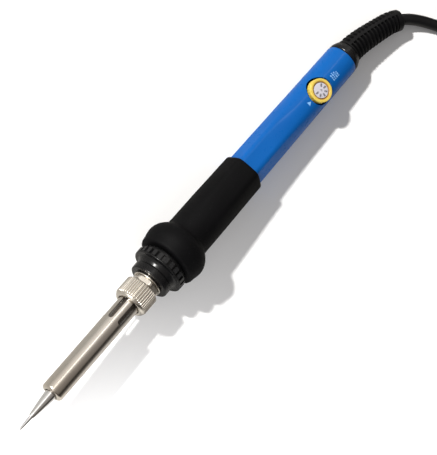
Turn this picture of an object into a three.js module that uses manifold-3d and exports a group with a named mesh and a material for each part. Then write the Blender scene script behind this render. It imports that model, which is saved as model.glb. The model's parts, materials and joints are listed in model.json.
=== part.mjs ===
// A mains soldering iron with adjustable temperature, lying at rest on a flat surface.
// Millimetres, +Z up. The iron's axis runs along X: bit towards -X, cord towards +X.
// "Along" means the distance from the bit's point, measured on the iron's own axis.
import * as THREE from 'three';
import { mergeVertices } from 'three/addons/utils/BufferGeometryUtils.js';
import Module from 'manifold-3d';

const wasm = await Module();
wasm.setup();

// ---------------------------------------------------------------- driving dimensions
const GAP = 0.3; // clearance between neighbouring pieces

const BIT_REACH = 18.8; // bare bit in front of the barrel
const BIT_POINT_R = 0.5;
const BIT_TINNED = 6.8; // tinned stretch behind the point
const BIT_TINNED_R = 0.9;
const BIT_STEP_R = 1.25; // where the plated cone starts behind the tinned stretch
const BIT_NECK_R = 2.45;
const BIT_SLEEVE_R = 3.25;
const BIT_SLEEVE_LENGTH = 26.8;
const HEATER_R = 1.85;
const HEATER_FRONT = 4.8; // heater's front end behind the bit's shoulder
const HEATER_JACKET_R = 3.05; // thicker stretch behind the bit, seen through the barrel's slots
const HEATER_REAR_INSET = 0.8; // heater's rear end inside the collar

const BARREL_R = 4.75;
const BARREL_WALL = 0.5;
const BARREL_SHOWN = 48.5; // from the mouth to the nut
const BARREL_LIP = 0.6;
const BARREL_ROLL_R = 1.35; // rounding of the rolled mouth
const BARREL_FLANGE_R = 5.8;
const BARREL_FLANGE = 1.3;
const SLOT_COUNT = 6;
const SLOT_WIDTH = 2.3;
const SLOT_LENGTH = 11.6;
const SLOT_TURN = 13; // degrees from straight up to the first slot, towards -Y

const NUT_R = 7.4;
const NUT_LENGTH = 9.2;
const NUT_WALL = 1.3; // front wall that presses on the barrel's flange
const NUT_BEVEL = 0.8;
const NUT_CAVITY_R = 6.1;
const KNURL_COUNT = 40;
const KNURL_DEPTH = 0.45;

const HEX_FLATS_R = 5.5; // nipple's hexagon, axis to flat
const HEX_CORNERS_R = 6.15;
const HEX_THICKNESS = 1.9;
const NIPPLE_BORE_R = 3.4;
const NIPPLE_STEM_R = 4.9;
const NIPPLE_STEM = 9.2; // behind the hexagon
const WASHER_R = 6.4;
const WASHER_THICKNESS = 0.7;

const NOSE_LIP_R = 8.8;
const NOSE_LIP = 3.1;
const NOSE_LIP_EDGE = 0.9; // rounding of the lip's front edge
const NOSE_NECK_R = 8.4;
const NOSE_NECK = 2.7;
const NOSE_RING_R = 11.4;
const NOSE_RING = 3.4;
const NOSE_SHOULDER_R = 10.2;
const NOSE_SHOULDER = 1.9;
const NOSE_SPIGOT_R = 6.3;
const NOSE_SPIGOT = 16.5;
const COLLAR_R = 4.2; // ceramic collar round the heater
const COLLAR_LENGTH = 7.5;
const CASTLE_COUNT = 24;
const CASTLE_WIDTH = 1.25;
const CASTLE_DEPTH = 1.1;
const CASTLE_LENGTH = 2.5;

const GRIP_LENGTH = 52.6;
const FLANGE_FRONT_R = 12.75;
const FLANGE_R = 13.6;
const FLANGE_CREST = 6.3; // from the grip's front face to the widest place
const FLANGE_LENGTH = 12.8;
const GRIP_FRONT_R = 9.75;
const GRIP_REAR_R = 9.15;

const HANDLE_LENGTH = 122.1;
const HANDLE_GRIP_R = 8.08; // over the hexagon's corners, at the grip's rear edge
const HANDLE_REAR_R = 7.34;
const HANDLE_BORE_R = 5.9;
const HEX_ROUNDING = 0.35; // corner rounding as a share of the hexagon's half width
const HEX_TURN = (14 * Math.PI) / 180; // lean of the upper flat from the knob, towards +Y
const HEX_FADE_FRONT = 6; // behind the grip, where the hexagon starts to turn round
const HEX_FADE_REAR = 4; // behind the knob's axis, where the handle is round
const GRIP_HEX_SHARE = 0.85; // how far the grip's rear end follows the hexagon
const EDGE = 0.4; // usual chamfer on a moulded rim

const KNOB_FROM_REAR = 21.6; // knob's axis in front of the handle's rear edge
const KNOB_R = 5.15;
const KNOB_TOP = 8.4; // above the iron's axis
const KNOB_HEIGHT = 3.5;
const KNOB_HOLE_GAP = 0.5;
const KNOB_RIM = 0.5; // rounding of the knob's upper edge
const KNOB_SOCKET = 1.8; // depth of the socket on the shaft
const DIAL_R = 3.35;
const DIAL_THICKNESS = 0.4;
const DIAL_RECESS = 0.3; // below the knob's upper face
const POT_R = 4.5;
const POT_HEIGHT = 4.3;
const POT_SHOULDER = 0.7; // chamfer of the potentiometer's upper end
const POT_TOP_R = 3.3;
const POT_SHAFT_R = 1.5;

const BOARD_WIDTH = 9.6;
const BOARD_THICKNESS = 1.2;
const BOARD_TOP = -1.4; // board's upper face below the iron's axis
const BOARD_LENGTH = 86;
const BOARD_REAR_GAP = 2.5; // room behind the board for the mains wires
const TRIAC_SIZE = [10.8, 7.6, 2.8];
const TRIAC_PLACE = 16; // from the board's front edge, as for the parts below
const FILM_SIZE = [9, 4.4, 4.6];
const FILM_PLACE = 32;
const RESISTOR = { radius: 1.1, length: 6, place: 46, side: 2.4 };
const DIAC = { radius: 0.9, length: 4, place: 61, side: 0 };
const LEAD_R = 0.35;

const CAP_LENGTH = 4.1;
const CAP_REAR_R = 6.2;
const CAP_SPIGOT = 6;
const BOOT_NECK_R = 3.8;
const BOOT_FLANGE_R = 5.2;
const BOOT_FLANGE = 2.4;
const BOOT_START_R = 5.75;
const BOOT_END_R = 4.65;
const BOOT_RIBS = 12;
const BOOT_GROOVE = 0.55;

const CORD_R = 2.5;
const WIRE_R = 0.55;

const HANK_STRAIGHT = 54;
const HANK_INNER_TURN_R = 15;
const HANK_COLUMNS = 2;
const HANK_LAYERS = 3;
const HANK_PITCH = 5.2;
const TIE_WIDTH = 9;
const TIE_THICKNESS = 0.8;

const PLUG_WIDTH = 23;
const PLUG_THICKNESS = 13;
const PLUG_LENGTH = 24;
const PLUG_NECK = 9;
const BLADE_SPACING = 12.7;
const BLADE_HEIGHT = 6.3;
const BLADE_THICKNESS = 1.5;
const BLADE_LENGTH = 17;
const BLADE_HIDDEN = 7;

// ---------------------------------------------------------------- stations along the axis
const barrelFront = BIT_REACH;
const nutFront = barrelFront + BARREL_SHOWN;
const nutRear = nutFront + NUT_LENGTH;
const flangeFront = nutFront + NUT_WALL + GAP;
const barrelRear = flangeFront + BARREL_FLANGE;
const hexFront = nutRear + GAP + 0.1;
const hexRear = hexFront + HEX_THICKNESS;
const washerFront = hexRear + GAP;
const noseFront = washerFront + WASHER_THICKNESS + GAP;
const ringFront = noseFront + NOSE_LIP + NOSE_NECK;
const ringRear = ringFront + NOSE_RING;
const shoulderRear = ringRear + NOSE_SHOULDER;
const gripFront = shoulderRear + GAP;
const gripRear = gripFront + GRIP_LENGTH;
const handleRear = gripFront + HANDLE_LENGTH;
const knobAlong = handleRear - KNOB_FROM_REAR;
const capRear = handleRear + GAP + CAP_LENGTH;
const bitShoulder = barrelFront + BARREL_LIP + GAP;
const bitRear = bitShoulder + BIT_SLEEVE_LENGTH;
const stemRear = hexRear + NIPPLE_STEM;
const collarFront = stemRear + GAP;
const collarRear = collarFront + COLLAR_LENGTH;
const heaterFront = bitShoulder + HEATER_FRONT;
const boardRear = handleRear - CAP_SPIGOT - BOOT_FLANGE - BOARD_REAR_GAP;
const boardFront = boardRear - BOARD_LENGTH;
const onBoard = BOARD_TOP + GAP;

// ---------------------------------------------------------------- rest pose
// The iron lies on its grip flange and on the rear edge of its handle, so its bit stands higher.
const restTilt = Math.atan2(FLANGE_R - HANDLE_REAR_R, handleRear - gripFront - FLANGE_CREST);
const restHeight =
  (gripFront + FLANGE_CREST) * Math.sin(restTilt) + FLANGE_R * Math.cos(restTilt);
const restMiddle = (capRear * Math.cos(restTilt)) / 2;

// ---------------------------------------------------------------- helpers
const TAU = 2 * Math.PI;
const radians = (degrees) => (degrees * Math.PI) / 180;

function material(colour, roughness, metalness = 0) {
  return new THREE.MeshStandardMaterial({ color: colour, roughness, metalness });
}

const finish = {
  plate: material(0xd8d8d6, 0.18, 1),
  steel: material(0xb9b4ad, 0.28, 1),
  nickel: material(0xc9c2b6, 0.3, 1),
  ceramic: material(0xe9e6de, 0.55),
  resin: material(0x17171a, 0.4),
  rubber: material(0x141416, 0.75),
  blue: material(0x0f63c4, 0.3),
  yellow: material(0xe6c53a, 0.45),
  dial: material(0xc9c6cc, 0.5),
  board: material(0x2c5a34, 0.6),
  black: material(0x1b1b1d, 0.6),
  red: material(0xa8382c, 0.6),
  copper: material(0xb87333, 0.4, 1),
  brass: material(0xc8a860, 0.35, 1),
};

function piece(name, geometry, look) {
  const mesh = new THREE.Mesh(geometry, look);
  mesh.name = name;
  return mesh;
}

function bare(geometry) {
  const copy = geometry.clone();
  copy.deleteAttribute('normal');
  copy.deleteAttribute('uv');
  const merged = mergeVertices(copy, 1e-4);
  const index = merged.index.array;
  const kept = [];
  for (let i = 0; i < index.length; i += 3) {
    const [a, b, c] = [index[i], index[i + 1], index[i + 2]];
    if (a !== b && b !== c && c !== a) kept.push(a, b, c);
  }
  merged.setIndex(kept);
  return merged;
}

function solid(geometry) {
  const merged = bare(geometry);
  return new wasm.Manifold(
    new wasm.Mesh({
      numProp: 3,
      vertProperties: new Float32Array(merged.attributes.position.array),
      triVerts: new Uint32Array(merged.index.array),
    }),
  );
}

function geometryOf(body) {
  const mesh = body.getMesh();
  const geometry = new THREE.BufferGeometry();
  geometry.setAttribute('position', new THREE.BufferAttribute(mesh.vertProperties, 3));
  geometry.setIndex(new THREE.BufferAttribute(mesh.triVerts, 1));
  return geometry;
}

const cut = (geometry, tools) =>
  geometryOf(tools.reduce((body, tool) => body.subtract(solid(tool)), solid(geometry)));
const join = (geometry, others) =>
  geometryOf(others.reduce((body, other) => body.add(solid(other)), solid(geometry)));

// Turned body on the X axis. The profile lists [along, radius] from the front, outside first.
function turned(profile, segments = 24) {
  const points = profile.map(([along, radius]) => new THREE.Vector2(radius, along));
  return new THREE.LatheGeometry(points, segments).rotateZ(-Math.PI / 2);
}

// The same for a ring: the profile closes on itself.
const turnedRing = (profile, segments) => turned([...profile, profile[0]], segments);

// Turned body on an upright axis. The profile lists [height, radius] from below.
function upright(profile, segments = 24) {
  const points = profile.map(([height, radius]) => new THREE.Vector2(radius, height));
  return new THREE.LatheGeometry(points, segments).rotateX(Math.PI / 2);
}

function block(lengthX, widthY, heightZ, x, y, z) {
  return new THREE.BoxGeometry(lengthX, widthY, heightZ).translate(x, y, z);
}

function arc(centre, radius, from, to, steps) {
  return Array.from({ length: steps + 1 }, (_, i) => {
    const angle = radians(from + ((to - from) * i) / steps);
    return [centre[0] + radius * Math.cos(angle), centre[1] + radius * Math.sin(angle)];
  });
}

function outline(points) {
  return new THREE.Shape(points.map(([x, y]) => new THREE.Vector2(x, y)));
}

// Outline in the YZ plane, drawn as [y, z], extruded along +X from the given place.
function alongX(shape, from, length) {
  return new THREE.ExtrudeGeometry(shape, { depth: length, bevelEnabled: false, steps: 1 })
    .rotateY(Math.PI / 2)
    .rotateX(Math.PI / 2)
    .translate(from, 0, 0);
}

function tube(points, radius, sides, steps) {
  const path = new THREE.CatmullRomCurve3(points.map((p) => new THREE.Vector3(...p)));
  const ring = outline(
    Array.from({ length: sides }, (_, i) => [
      radius * Math.cos((TAU * i) / sides),
      radius * Math.sin((TAU * i) / sides),
    ]),
  );
  return new THREE.ExtrudeGeometry(ring, { steps, extrudePath: path, bevelEnabled: false });
}

function roundedRectangle(width, height, radius, steps = 4) {
  const [w, h] = [width / 2 - radius, height / 2 - radius];
  return [
    ...arc([w, h], radius, 0, 90, steps),
    ...arc([-w, h], radius, 90, 180, steps),
    ...arc([-w, -h], radius, 180, 270, steps),
    ...arc([w, -h], radius, 270, 360, steps),
  ];
}

// Rounded hexagon with its upper flat at HEX_TURN: radius at an angle from +Z, over a corner's radius.
function hexagonShare(angle) {
  const sector = Math.PI / 3;
  const turned = angle - HEX_TURN;
  const folded = Math.abs(turned - sector * Math.round(turned / sector));
  const centre = (1 - HEX_ROUNDING) / Math.cos(sector / 2);
  const tangent = Math.atan((1 - HEX_ROUNDING) * Math.tan(sector / 2));
  const off = sector / 2 - folded;
  const round = centre * Math.cos(off) + Math.sqrt(HEX_ROUNDING ** 2 - (centre * Math.sin(off)) ** 2);
  return (folded < tangent ? 1 / Math.cos(folded) : round) / (centre + HEX_ROUNDING);
}

// Draws a turned body's outer surface in to the hexagon, by a share that depends on the place.
function hexagonal(geometry, shareAt, innerRadius) {
  const position = geometry.attributes.position;
  for (let i = 0; i < position.count; i += 1) {
    const [x, y, z] = [position.getX(i), position.getY(i), position.getZ(i)];
    if (Math.hypot(y, z) <= innerRadius) continue;
    const share = shareAt(x);
    const factor = 1 - share + share * hexagonShare(Math.atan2(y, z));
    position.setY(i, y * factor);
    position.setZ(i, z * factor);
  }
  return geometry;
}

const between = (x, from, to) => Math.min(1, Math.max(0, (x - from) / (to - from)));

// ---------------------------------------------------------------- front end
function bit() {
  const bore = HEATER_R + GAP;
  return turned([
    [0, 0],
    [0.05, BIT_POINT_R * 0.6],
    [0.25, BIT_POINT_R],
    [BIT_TINNED, BIT_TINNED_R],
    [BIT_TINNED + 0.3, BIT_STEP_R],
    [barrelFront - 1.2, BIT_NECK_R],
    [bitShoulder, BIT_NECK_R],
    [bitShoulder, BIT_SLEEVE_R],
    [bitRear, BIT_SLEEVE_R],
    [bitRear, bore],
    [heaterFront - GAP, bore],
    [heaterFront - GAP - 1.2, 0],
  ]);
}

function barrel() {
  const inner = BARREL_R - BARREL_WALL;
  const mouth = BIT_NECK_R + GAP + 0.05;
  const rollCentre = [barrelFront + BARREL_ROLL_R, BARREL_R - BARREL_ROLL_R];
  const pipe = turnedRing([
    [barrelFront, mouth],
    ...arc(rollCentre, BARREL_ROLL_R, 180, 90, 4),
    [flangeFront, BARREL_R],
    [flangeFront, BARREL_FLANGE_R],
    [barrelRear, BARREL_FLANGE_R],
    [barrelRear, inner],
    [rollCentre[0], inner],
    [barrelFront + BARREL_LIP, rollCentre[1]],
    [barrelFront + BARREL_LIP, mouth],
  ]);
  const end = SLOT_WIDTH / 2;
  const slotFront = nutFront + NUT_WALL - SLOT_LENGTH;
  const shape = outline([
    ...arc([slotFront + SLOT_LENGTH - end, 0], end, -90, 90, 6),
    ...arc([slotFront + end, 0], end, 90, 270, 6),
  ]);
  const slots = Array.from({ length: SLOT_COUNT }, (_, i) =>
    new THREE.ExtrudeGeometry(shape, { depth: BARREL_R * 2, bevelEnabled: false }).rotateX(
      radians(SLOT_TURN + (360 * i) / SLOT_COUNT),
    ),
  );
  return cut(pipe, slots);
}

function knurledNut() {
  const ridges = Array.from({ length: KNURL_COUNT * 2 }, (_, i) => {
    const radius = i % 2 ? NUT_R : NUT_R - KNURL_DEPTH;
    const angle = (Math.PI * i) / KNURL_COUNT;
    return [radius * Math.cos(angle), radius * Math.sin(angle)];
  });
  const bar = alongX(outline(ridges), nutFront, NUT_LENGTH);
  const lipR = NUT_R - KNURL_DEPTH;
  const envelope = turned(
    [
      [nutFront, 0],
      [nutFront, lipR - NUT_BEVEL],
      [nutFront + NUT_BEVEL, lipR],
      [nutFront + NUT_BEVEL + 0.5, lipR],
      [nutFront + NUT_BEVEL + 0.9, NUT_R + 0.1],
      [nutRear - 0.3, NUT_R + 0.1],
      [nutRear, lipR],
      [nutRear, 0],
    ],
    48,
  );
  const room = turned([
    [nutFront - 1, 0],
    [nutFront - 1, BARREL_R + GAP + 0.05],
    [nutFront + NUT_WALL, BARREL_R + GAP + 0.05],
    [nutFront + NUT_WALL, NUT_CAVITY_R],
    [nutRear + 1, NUT_CAVITY_R],
    [nutRear + 1, 0],
  ]);
  return geometryOf(solid(bar).intersect(solid(envelope)).subtract(solid(room)));
}

function nipple() {
  const threaded = turnedRing([
    [barrelRear + GAP, NIPPLE_BORE_R],
    [barrelRear + GAP, NUT_CAVITY_R - GAP - 0.3],
    [barrelRear + GAP + 0.4, NUT_CAVITY_R - GAP],
    [hexFront + 0.5, NUT_CAVITY_R - GAP],
    [hexFront + 0.5, NIPPLE_STEM_R],
    [stemRear, NIPPLE_STEM_R],
    [stemRear, NIPPLE_BORE_R],
  ]);
  const corner = HEX_FLATS_R / Math.cos(Math.PI / 6);
  const corners = Array.from({ length: 6 }, (_, i) => [
    corner * Math.cos((TAU * i) / 6),
    corner * Math.sin((TAU * i) / 6),
  ]);
  const hexagon = solid(alongX(outline(corners), hexFront, HEX_THICKNESS));
  const round = turned(
    [
      [hexFront, 0],
      [hexFront, HEX_CORNERS_R - 0.3],
      [hexFront + 0.4, HEX_CORNERS_R],
      [hexRear, HEX_CORNERS_R],
      [hexRear, 0],
    ],
    24,
  );
  const bore = turned([
    [hexFront - 1, 0],
    [hexFront - 1, NIPPLE_BORE_R + 0.2],
    [hexRear + 1, NIPPLE_BORE_R + 0.2],
    [hexRear + 1, 0],
  ]);
  return geometryOf(
    hexagon.intersect(solid(round)).subtract(solid(bore)).add(solid(threaded)),
  );
}

const washer = () =>
  turnedRing([
    [washerFront, NIPPLE_STEM_R + GAP],
    [washerFront, WASHER_R],
    [washerFront + WASHER_THICKNESS, WASHER_R],
    [washerFront + WASHER_THICKNESS, NIPPLE_STEM_R + GAP],
  ]);

const heaterRod = () =>
  turned(
    [
      [heaterFront, 0],
      [heaterFront, HEATER_R - 0.3],
      [heaterFront + 0.3, HEATER_R],
      [bitRear + GAP, HEATER_R],
      [bitRear + GAP, HEATER_JACKET_R],
      [stemRear - GAP, HEATER_JACKET_R],
      [stemRear - GAP, HEATER_R],
      [collarRear - HEATER_REAR_INSET, HEATER_R],
      [collarRear - HEATER_REAR_INSET, 0],
    ],
    24,
  );

const heaterCollar = () =>
  turnedRing(
    [
      [collarFront, HEATER_R + GAP],
      [collarFront, COLLAR_R],
      [collarRear, COLLAR_R],
      [collarRear, HEATER_R + GAP],
    ],
    24,
  );

// ---------------------------------------------------------------- nose, grip and handle
function nose() {
  const lipCentre = [noseFront + NOSE_LIP_EDGE, NOSE_LIP_R - NOSE_LIP_EDGE];
  const body = turnedRing(
    [
      [noseFront, NIPPLE_STEM_R + GAP],
      ...arc(lipCentre, NOSE_LIP_EDGE, 180, 90, 3),
      [noseFront + NOSE_LIP - 0.3, NOSE_LIP_R],
      [noseFront + NOSE_LIP, NOSE_NECK_R],
      [ringFront, NOSE_NECK_R],
      [ringFront, NOSE_RING_R - 0.7],
      [ringFront + 0.5, NOSE_RING_R],
      [ringRear, NOSE_RING_R],
      [ringRear, NOSE_SHOULDER_R],
      [shoulderRear, NOSE_SHOULDER_R],
      [shoulderRear, NOSE_SPIGOT_R],
      [shoulderRear + NOSE_SPIGOT, NOSE_SPIGOT_R],
      [shoulderRear + NOSE_SPIGOT, COLLAR_R + GAP],
      [stemRear + GAP / 2, COLLAR_R + GAP],
      [stemRear + GAP / 2, NIPPLE_STEM_R + GAP],
    ],
    36,
  );
  const slots = Array.from({ length: CASTLE_COUNT }, (_, i) =>
    block(
      CASTLE_LENGTH,
      CASTLE_WIDTH,
      CASTLE_DEPTH * 2,
      ringRear - CASTLE_LENGTH / 2 + 0.01,
      0,
      NOSE_RING_R,
    ).rotateX(radians((360 * (i + 0.5)) / CASTLE_COUNT)),
  );
  return cut(body, slots);
}

function gripSleeve() {
  const crest = gripFront + FLANGE_CREST;
  const heel = gripFront + FLANGE_LENGTH;
  const bore = HANDLE_GRIP_R + GAP;
  const sleeve = turnedRing(
    [
      [gripFront, bore],
      [gripFront, FLANGE_FRONT_R - 0.8],
      [gripFront + 0.7, FLANGE_FRONT_R],
      [crest - 1.6, FLANGE_R - 0.2],
      [crest, FLANGE_R],
      [crest + 1.6, FLANGE_R - 0.25],
      [crest + 3.2, FLANGE_R - 0.85],
      [crest + 4.7, FLANGE_R - 1.8],
      [crest + 5.7, FLANGE_R - 3.1],
      [heel, GRIP_FRONT_R + 0.15],
      [heel + 2, GRIP_FRONT_R],
      [(heel + gripRear) / 2, (GRIP_FRONT_R + GRIP_REAR_R) / 2],
      [gripRear - EDGE, GRIP_REAR_R],
      [gripRear, GRIP_REAR_R - EDGE],
      [gripRear, bore],
    ],
    36,
  );
  const outerShare = (x) => GRIP_HEX_SHARE * between(x, heel, gripRear);
  const formed = hexagonal(sleeve, outerShare, bore + 0.1);
  const position = formed.attributes.position;
  for (let i = 0; i < position.count; i += 1) {
    const [y, z] = [position.getY(i), position.getZ(i)];
    if (Math.hypot(y, z) > bore + 0.05) continue;
    const factor = hexagonShare(Math.atan2(y, z));
    position.setY(i, y * factor);
    position.setZ(i, z * factor);
  }
  return formed;
}

function handleTube() {
  const socket = NOSE_SPIGOT_R + GAP;
  const socketRear = shoulderRear + NOSE_SPIGOT + GAP;
  const radiusAt = (x) =>
    HANDLE_GRIP_R + (HANDLE_REAR_R - HANDLE_GRIP_R) * between(x, gripRear, handleRear);
  const shown = [0.25, 0.5, 0.75, 0.9].map((share) => {
    const x = gripRear + share * (handleRear - gripRear);
    return [x, radiusAt(x)];
  });
  const shell = turnedRing(
    [
      [gripFront, socket],
      [gripFront, HANDLE_GRIP_R],
      [gripRear, HANDLE_GRIP_R],
      ...shown,
      [handleRear - EDGE, HANDLE_REAR_R],
      [handleRear, HANDLE_REAR_R - EDGE],
      [handleRear, HANDLE_BORE_R],
      [socketRear, HANDLE_BORE_R],
      [socketRear, socket],
    ],
    36,
  );
  const share = (x) => 1 - between(x, gripRear + HEX_FADE_FRONT, knobAlong + HEX_FADE_REAR);
  const formed = hexagonal(shell, share, socket + 0.1);
  const hole = upright(
    [
      [2, 0],
      [2, KNOB_R + KNOB_HOLE_GAP],
      [12, KNOB_R + KNOB_HOLE_GAP],
      [12, 0],
    ],
    24,
  ).translate(knobAlong, 0, 0);
  return cut(formed, [hole]);
}

function rearCap() {
  const front = handleRear + GAP;
  const bore = BOOT_NECK_R + GAP;
  return turnedRing([
    [handleRear - CAP_SPIGOT, bore],
    [handleRear - CAP_SPIGOT, HANDLE_BORE_R - GAP],
    [front, HANDLE_BORE_R - GAP],
    [front, HANDLE_REAR_R - 0.4],
    [front + 0.5, HANDLE_REAR_R - 0.1],
    [front + 1.6, HANDLE_REAR_R - 0.2],
    [capRear - 0.8, CAP_REAR_R + 0.15],
    [capRear, CAP_REAR_R - 0.4],
    [capRear, bore],
  ]);
}

// ---------------------------------------------------------------- temperature control
function temperatureKnob() {
  const bottom = KNOB_TOP - KNOB_HEIGHT;
  const floor = KNOB_TOP - DIAL_RECESS - DIAL_THICKNESS - GAP;
  return upright(
    [
      [bottom + KNOB_SOCKET, 0],
      [bottom + KNOB_SOCKET, POT_SHAFT_R + GAP],
      [bottom, POT_SHAFT_R + GAP],
      [bottom, KNOB_R],
      [KNOB_TOP - KNOB_RIM, KNOB_R],
      [KNOB_TOP - KNOB_RIM * 0.3, KNOB_R - KNOB_RIM * 0.3],
      [KNOB_TOP, KNOB_R - KNOB_RIM],
      [KNOB_TOP, DIAL_R + GAP + KNOB_RIM],
      [KNOB_TOP - DIAL_RECESS, DIAL_R + GAP],
      [floor, DIAL_R + GAP],
      [floor, 0],
    ],
    24,
  ).translate(knobAlong, 0, 0);
}

function dialPlate() {
  const bottom = KNOB_TOP - DIAL_RECESS - DIAL_THICKNESS;
  return upright(
    [
      [bottom, 0],
      [bottom, DIAL_R],
      [bottom + DIAL_THICKNESS, DIAL_R],
      [bottom + DIAL_THICKNESS, 0],
    ],
    24,
  ).translate(knobAlong, 0, 0);
}

function potentiometerShaft() {
  const bottom = onBoard + POT_HEIGHT + GAP;
  const top = KNOB_TOP - KNOB_HEIGHT + KNOB_SOCKET - GAP;
  return upright(
    [
      [bottom, 0],
      [bottom, POT_SHAFT_R],
      [top, POT_SHAFT_R],
      [top, 0],
    ],
    12,
  ).translate(knobAlong, 0, 0);
}

function potentiometerBody() {
  return upright(
    [
      [onBoard, 0],
      [onBoard, POT_R],
      [onBoard + POT_HEIGHT - POT_SHOULDER, POT_R],
      [onBoard + POT_HEIGHT, POT_TOP_R],
      [onBoard + POT_HEIGHT, 0],
    ],
    24,
  ).translate(knobAlong, 0, 0);
}

// ---------------------------------------------------------------- electronics
const controlBoard = () =>
  block(
    BOARD_LENGTH,
    BOARD_WIDTH,
    BOARD_THICKNESS,
    (boardFront + boardRear) / 2,
    0,
    BOARD_TOP - BOARD_THICKNESS / 2,
  );

const standing = (size, place) => block(...size, boardFront + place, 0, onBoard + size[2] / 2);
const triac = () => standing(TRIAC_SIZE, TRIAC_PLACE);
const filmCapacitor = () => standing(FILM_SIZE, FILM_PLACE);

// Resistor or diac: a small turned body with its leads, along X.
function axialPart({ radius, length, place }, side) {
  return turned(
    [
      [-length, 0],
      [-length, LEAD_R],
      [-length / 2, LEAD_R],
      [-length / 2 + GAP, radius],
      [length / 2 - GAP, radius],
      [length / 2, LEAD_R],
      [length, LEAD_R],
      [length, 0],
    ],
    12,
  ).translate(boardFront + place, side, onBoard + radius);
}

const heaterLead = (side) =>
  tube(
    [
      [collarRear + GAP, side * 1.0, 0],
      [collarRear + 6, side * 1.4, 0.4],
      [boardFront - 3, side * 2.6, 0.2],
      [boardFront + 4, side * 3.0, onBoard + WIRE_R],
    ],
    WIRE_R,
    8,
    8,
  );

const mainsWire = (side) => {
  const from = handleRear - CAP_SPIGOT - GAP - BOOT_FLANGE - GAP;
  return tube(
    [
      [from, side * 1.5, 0],
      [from - 2.5, side * 2.2, 0.3],
      [boardRear - 4, side * 3.4, onBoard + WIRE_R + 0.2],
    ],
    WIRE_R,
    8,
    4,
  );
};

// ---------------------------------------------------------------- strain relief, cord, plug
// Centre line behind the rear cap, where the cord turns towards -Y and comes down to the surface.
// Places are [x, y, z] from the rear cap's end, on the surface.
const BOOT_ROUTE = [
  [4.8, -0.4, 6.8],
  [9.7, -1.3, 6.5],
  [15.5, -2.7, 6.0],
  [22.3, -4.5, 5.5],
  [26.1, -5.8, 5.2],
  [29.6, -7.6, 4.9],
];
const CORD_ROUTE = [
  [30.05, -7.9, 4.83],
  [32.1, -9.3, 4.5],
  [34.4, -11.25, 4.1],
  [36.5, -13.4, 3.7],
  [38.4, -15.7, 3.3],
  [40.2, -18.1, 3.0],
  [42.4, -21.5, 2.7],
  [44.5, -25.2, 2.6],
  [47.2, -29.3, 2.6],
  [50.7, -32.9, 2.7],
  [55.0, -35.7, 2.9],
  [59.8, -37.2, 3.2],
  [64.7, -37.65, 3.5],
  [69.6, -37.65, 3.75],
];
const TAIL_ROUTE = [
  [128.2, -2.45, 19.8],
  [123.2, -2.3, 21.2],
  [118.2, -2.0, 22.3],
  [112.2, -1.5, 23.1],
  [106.2, -1.1, 23.5],
  [103.0, -1.0, 23.6],
];
const HANK_CENTRE = [111.4, -17.45];
const HANK_BOTTOM = 1.2;
const TIE_PLACE = 113.2;
const PLUG_PLACE = [102.7, -1, 23.6]; // where the cord enters the plug, whose face looks to -X

function strainRelief() {
  const direction = [Math.cos(restTilt), 0, -Math.sin(restTilt)];
  const onAxis = (along) => [
    (along - capRear) * direction[0],
    0,
    restHeight + along * direction[2],
  ];
  const insideFront = handleRear - CAP_SPIGOT - GAP - BOOT_FLANGE;
  const line = new THREE.CatmullRomCurve3(
    [onAxis(insideFront), onAxis(handleRear - 3), onAxis(capRear - 0.3), ...BOOT_ROUTE].map(
      (p) => new THREE.Vector3(...p),
    ),
  );
  const whole = line.getLength();
  const bootFront = capRear + GAP - insideFront;
  const ribPitch = (whole - bootFront - 1.5) / BOOT_RIBS;
  const radiusAt = (u) =>
    BOOT_START_R + (BOOT_END_R - BOOT_START_R) * between(u, bootFront, whole);
  const ribs = Array.from({ length: BOOT_RIBS }, (_, i) => {
    const u = bootFront + 1.2 + i * ribPitch;
    return [
      [u, radiusAt(u)],
      [u + ribPitch * 0.2, radiusAt(u) - BOOT_GROOVE],
      [u + ribPitch * 0.5, radiusAt(u) - BOOT_GROOVE],
      [u + ribPitch * 0.7, radiusAt(u)],
    ];
  }).flat();
  const straight = turned(
    [
      [0, 0],
      [0, BOOT_FLANGE_R],
      [BOOT_FLANGE, BOOT_FLANGE_R],
      [BOOT_FLANGE, BOOT_NECK_R],
      [bootFront, BOOT_NECK_R],
      [bootFront, BOOT_START_R],
      ...ribs,
      [whole, BOOT_END_R],
      [whole, 0],
    ],
    16,
  );
  const position = straight.attributes.position;
  const up = new THREE.Vector3(0, 0, 1);
  for (let i = 0; i < position.count; i += 1) {
    const at = Math.min(1, Math.max(0, position.getX(i) / whole));
    const forward = line.getTangentAt(at);
    const side = new THREE.Vector3().crossVectors(up, forward).normalize();
    const above = new THREE.Vector3().crossVectors(forward, side);
    const place = line
      .getPointAt(at)
      .addScaledVector(side, position.getY(i))
      .addScaledVector(above, position.getZ(i));
    position.setXYZ(i, place.x, place.y, place.z);
  }
  return straight;
}

const mainsCord = () => tube(CORD_ROUTE, CORD_R, 10, 24);
const cordTail = () => tube(TAIL_ROUTE, CORD_R, 10, 6);

const hankEndR = HANK_INNER_TURN_R + (HANK_COLUMNS - 1) * HANK_PITCH + CORD_R;
const hankHeight = (HANK_LAYERS - 1) * HANK_PITCH + 2 * CORD_R + 0.2;

function cordHank() {
  const half = HANK_STRAIGHT / 2;
  const shape = outline([
    ...arc([half, 0], hankEndR, -90, 90, 10),
    ...arc([-half, 0], hankEndR, 90, 270, 10),
  ]);
  return new THREE.ExtrudeGeometry(shape, {
    depth: hankHeight,
    bevelEnabled: false,
    steps: 1,
  }).translate(HANK_CENTRE[0], HANK_CENTRE[1], HANK_BOTTOM);
}

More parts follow.
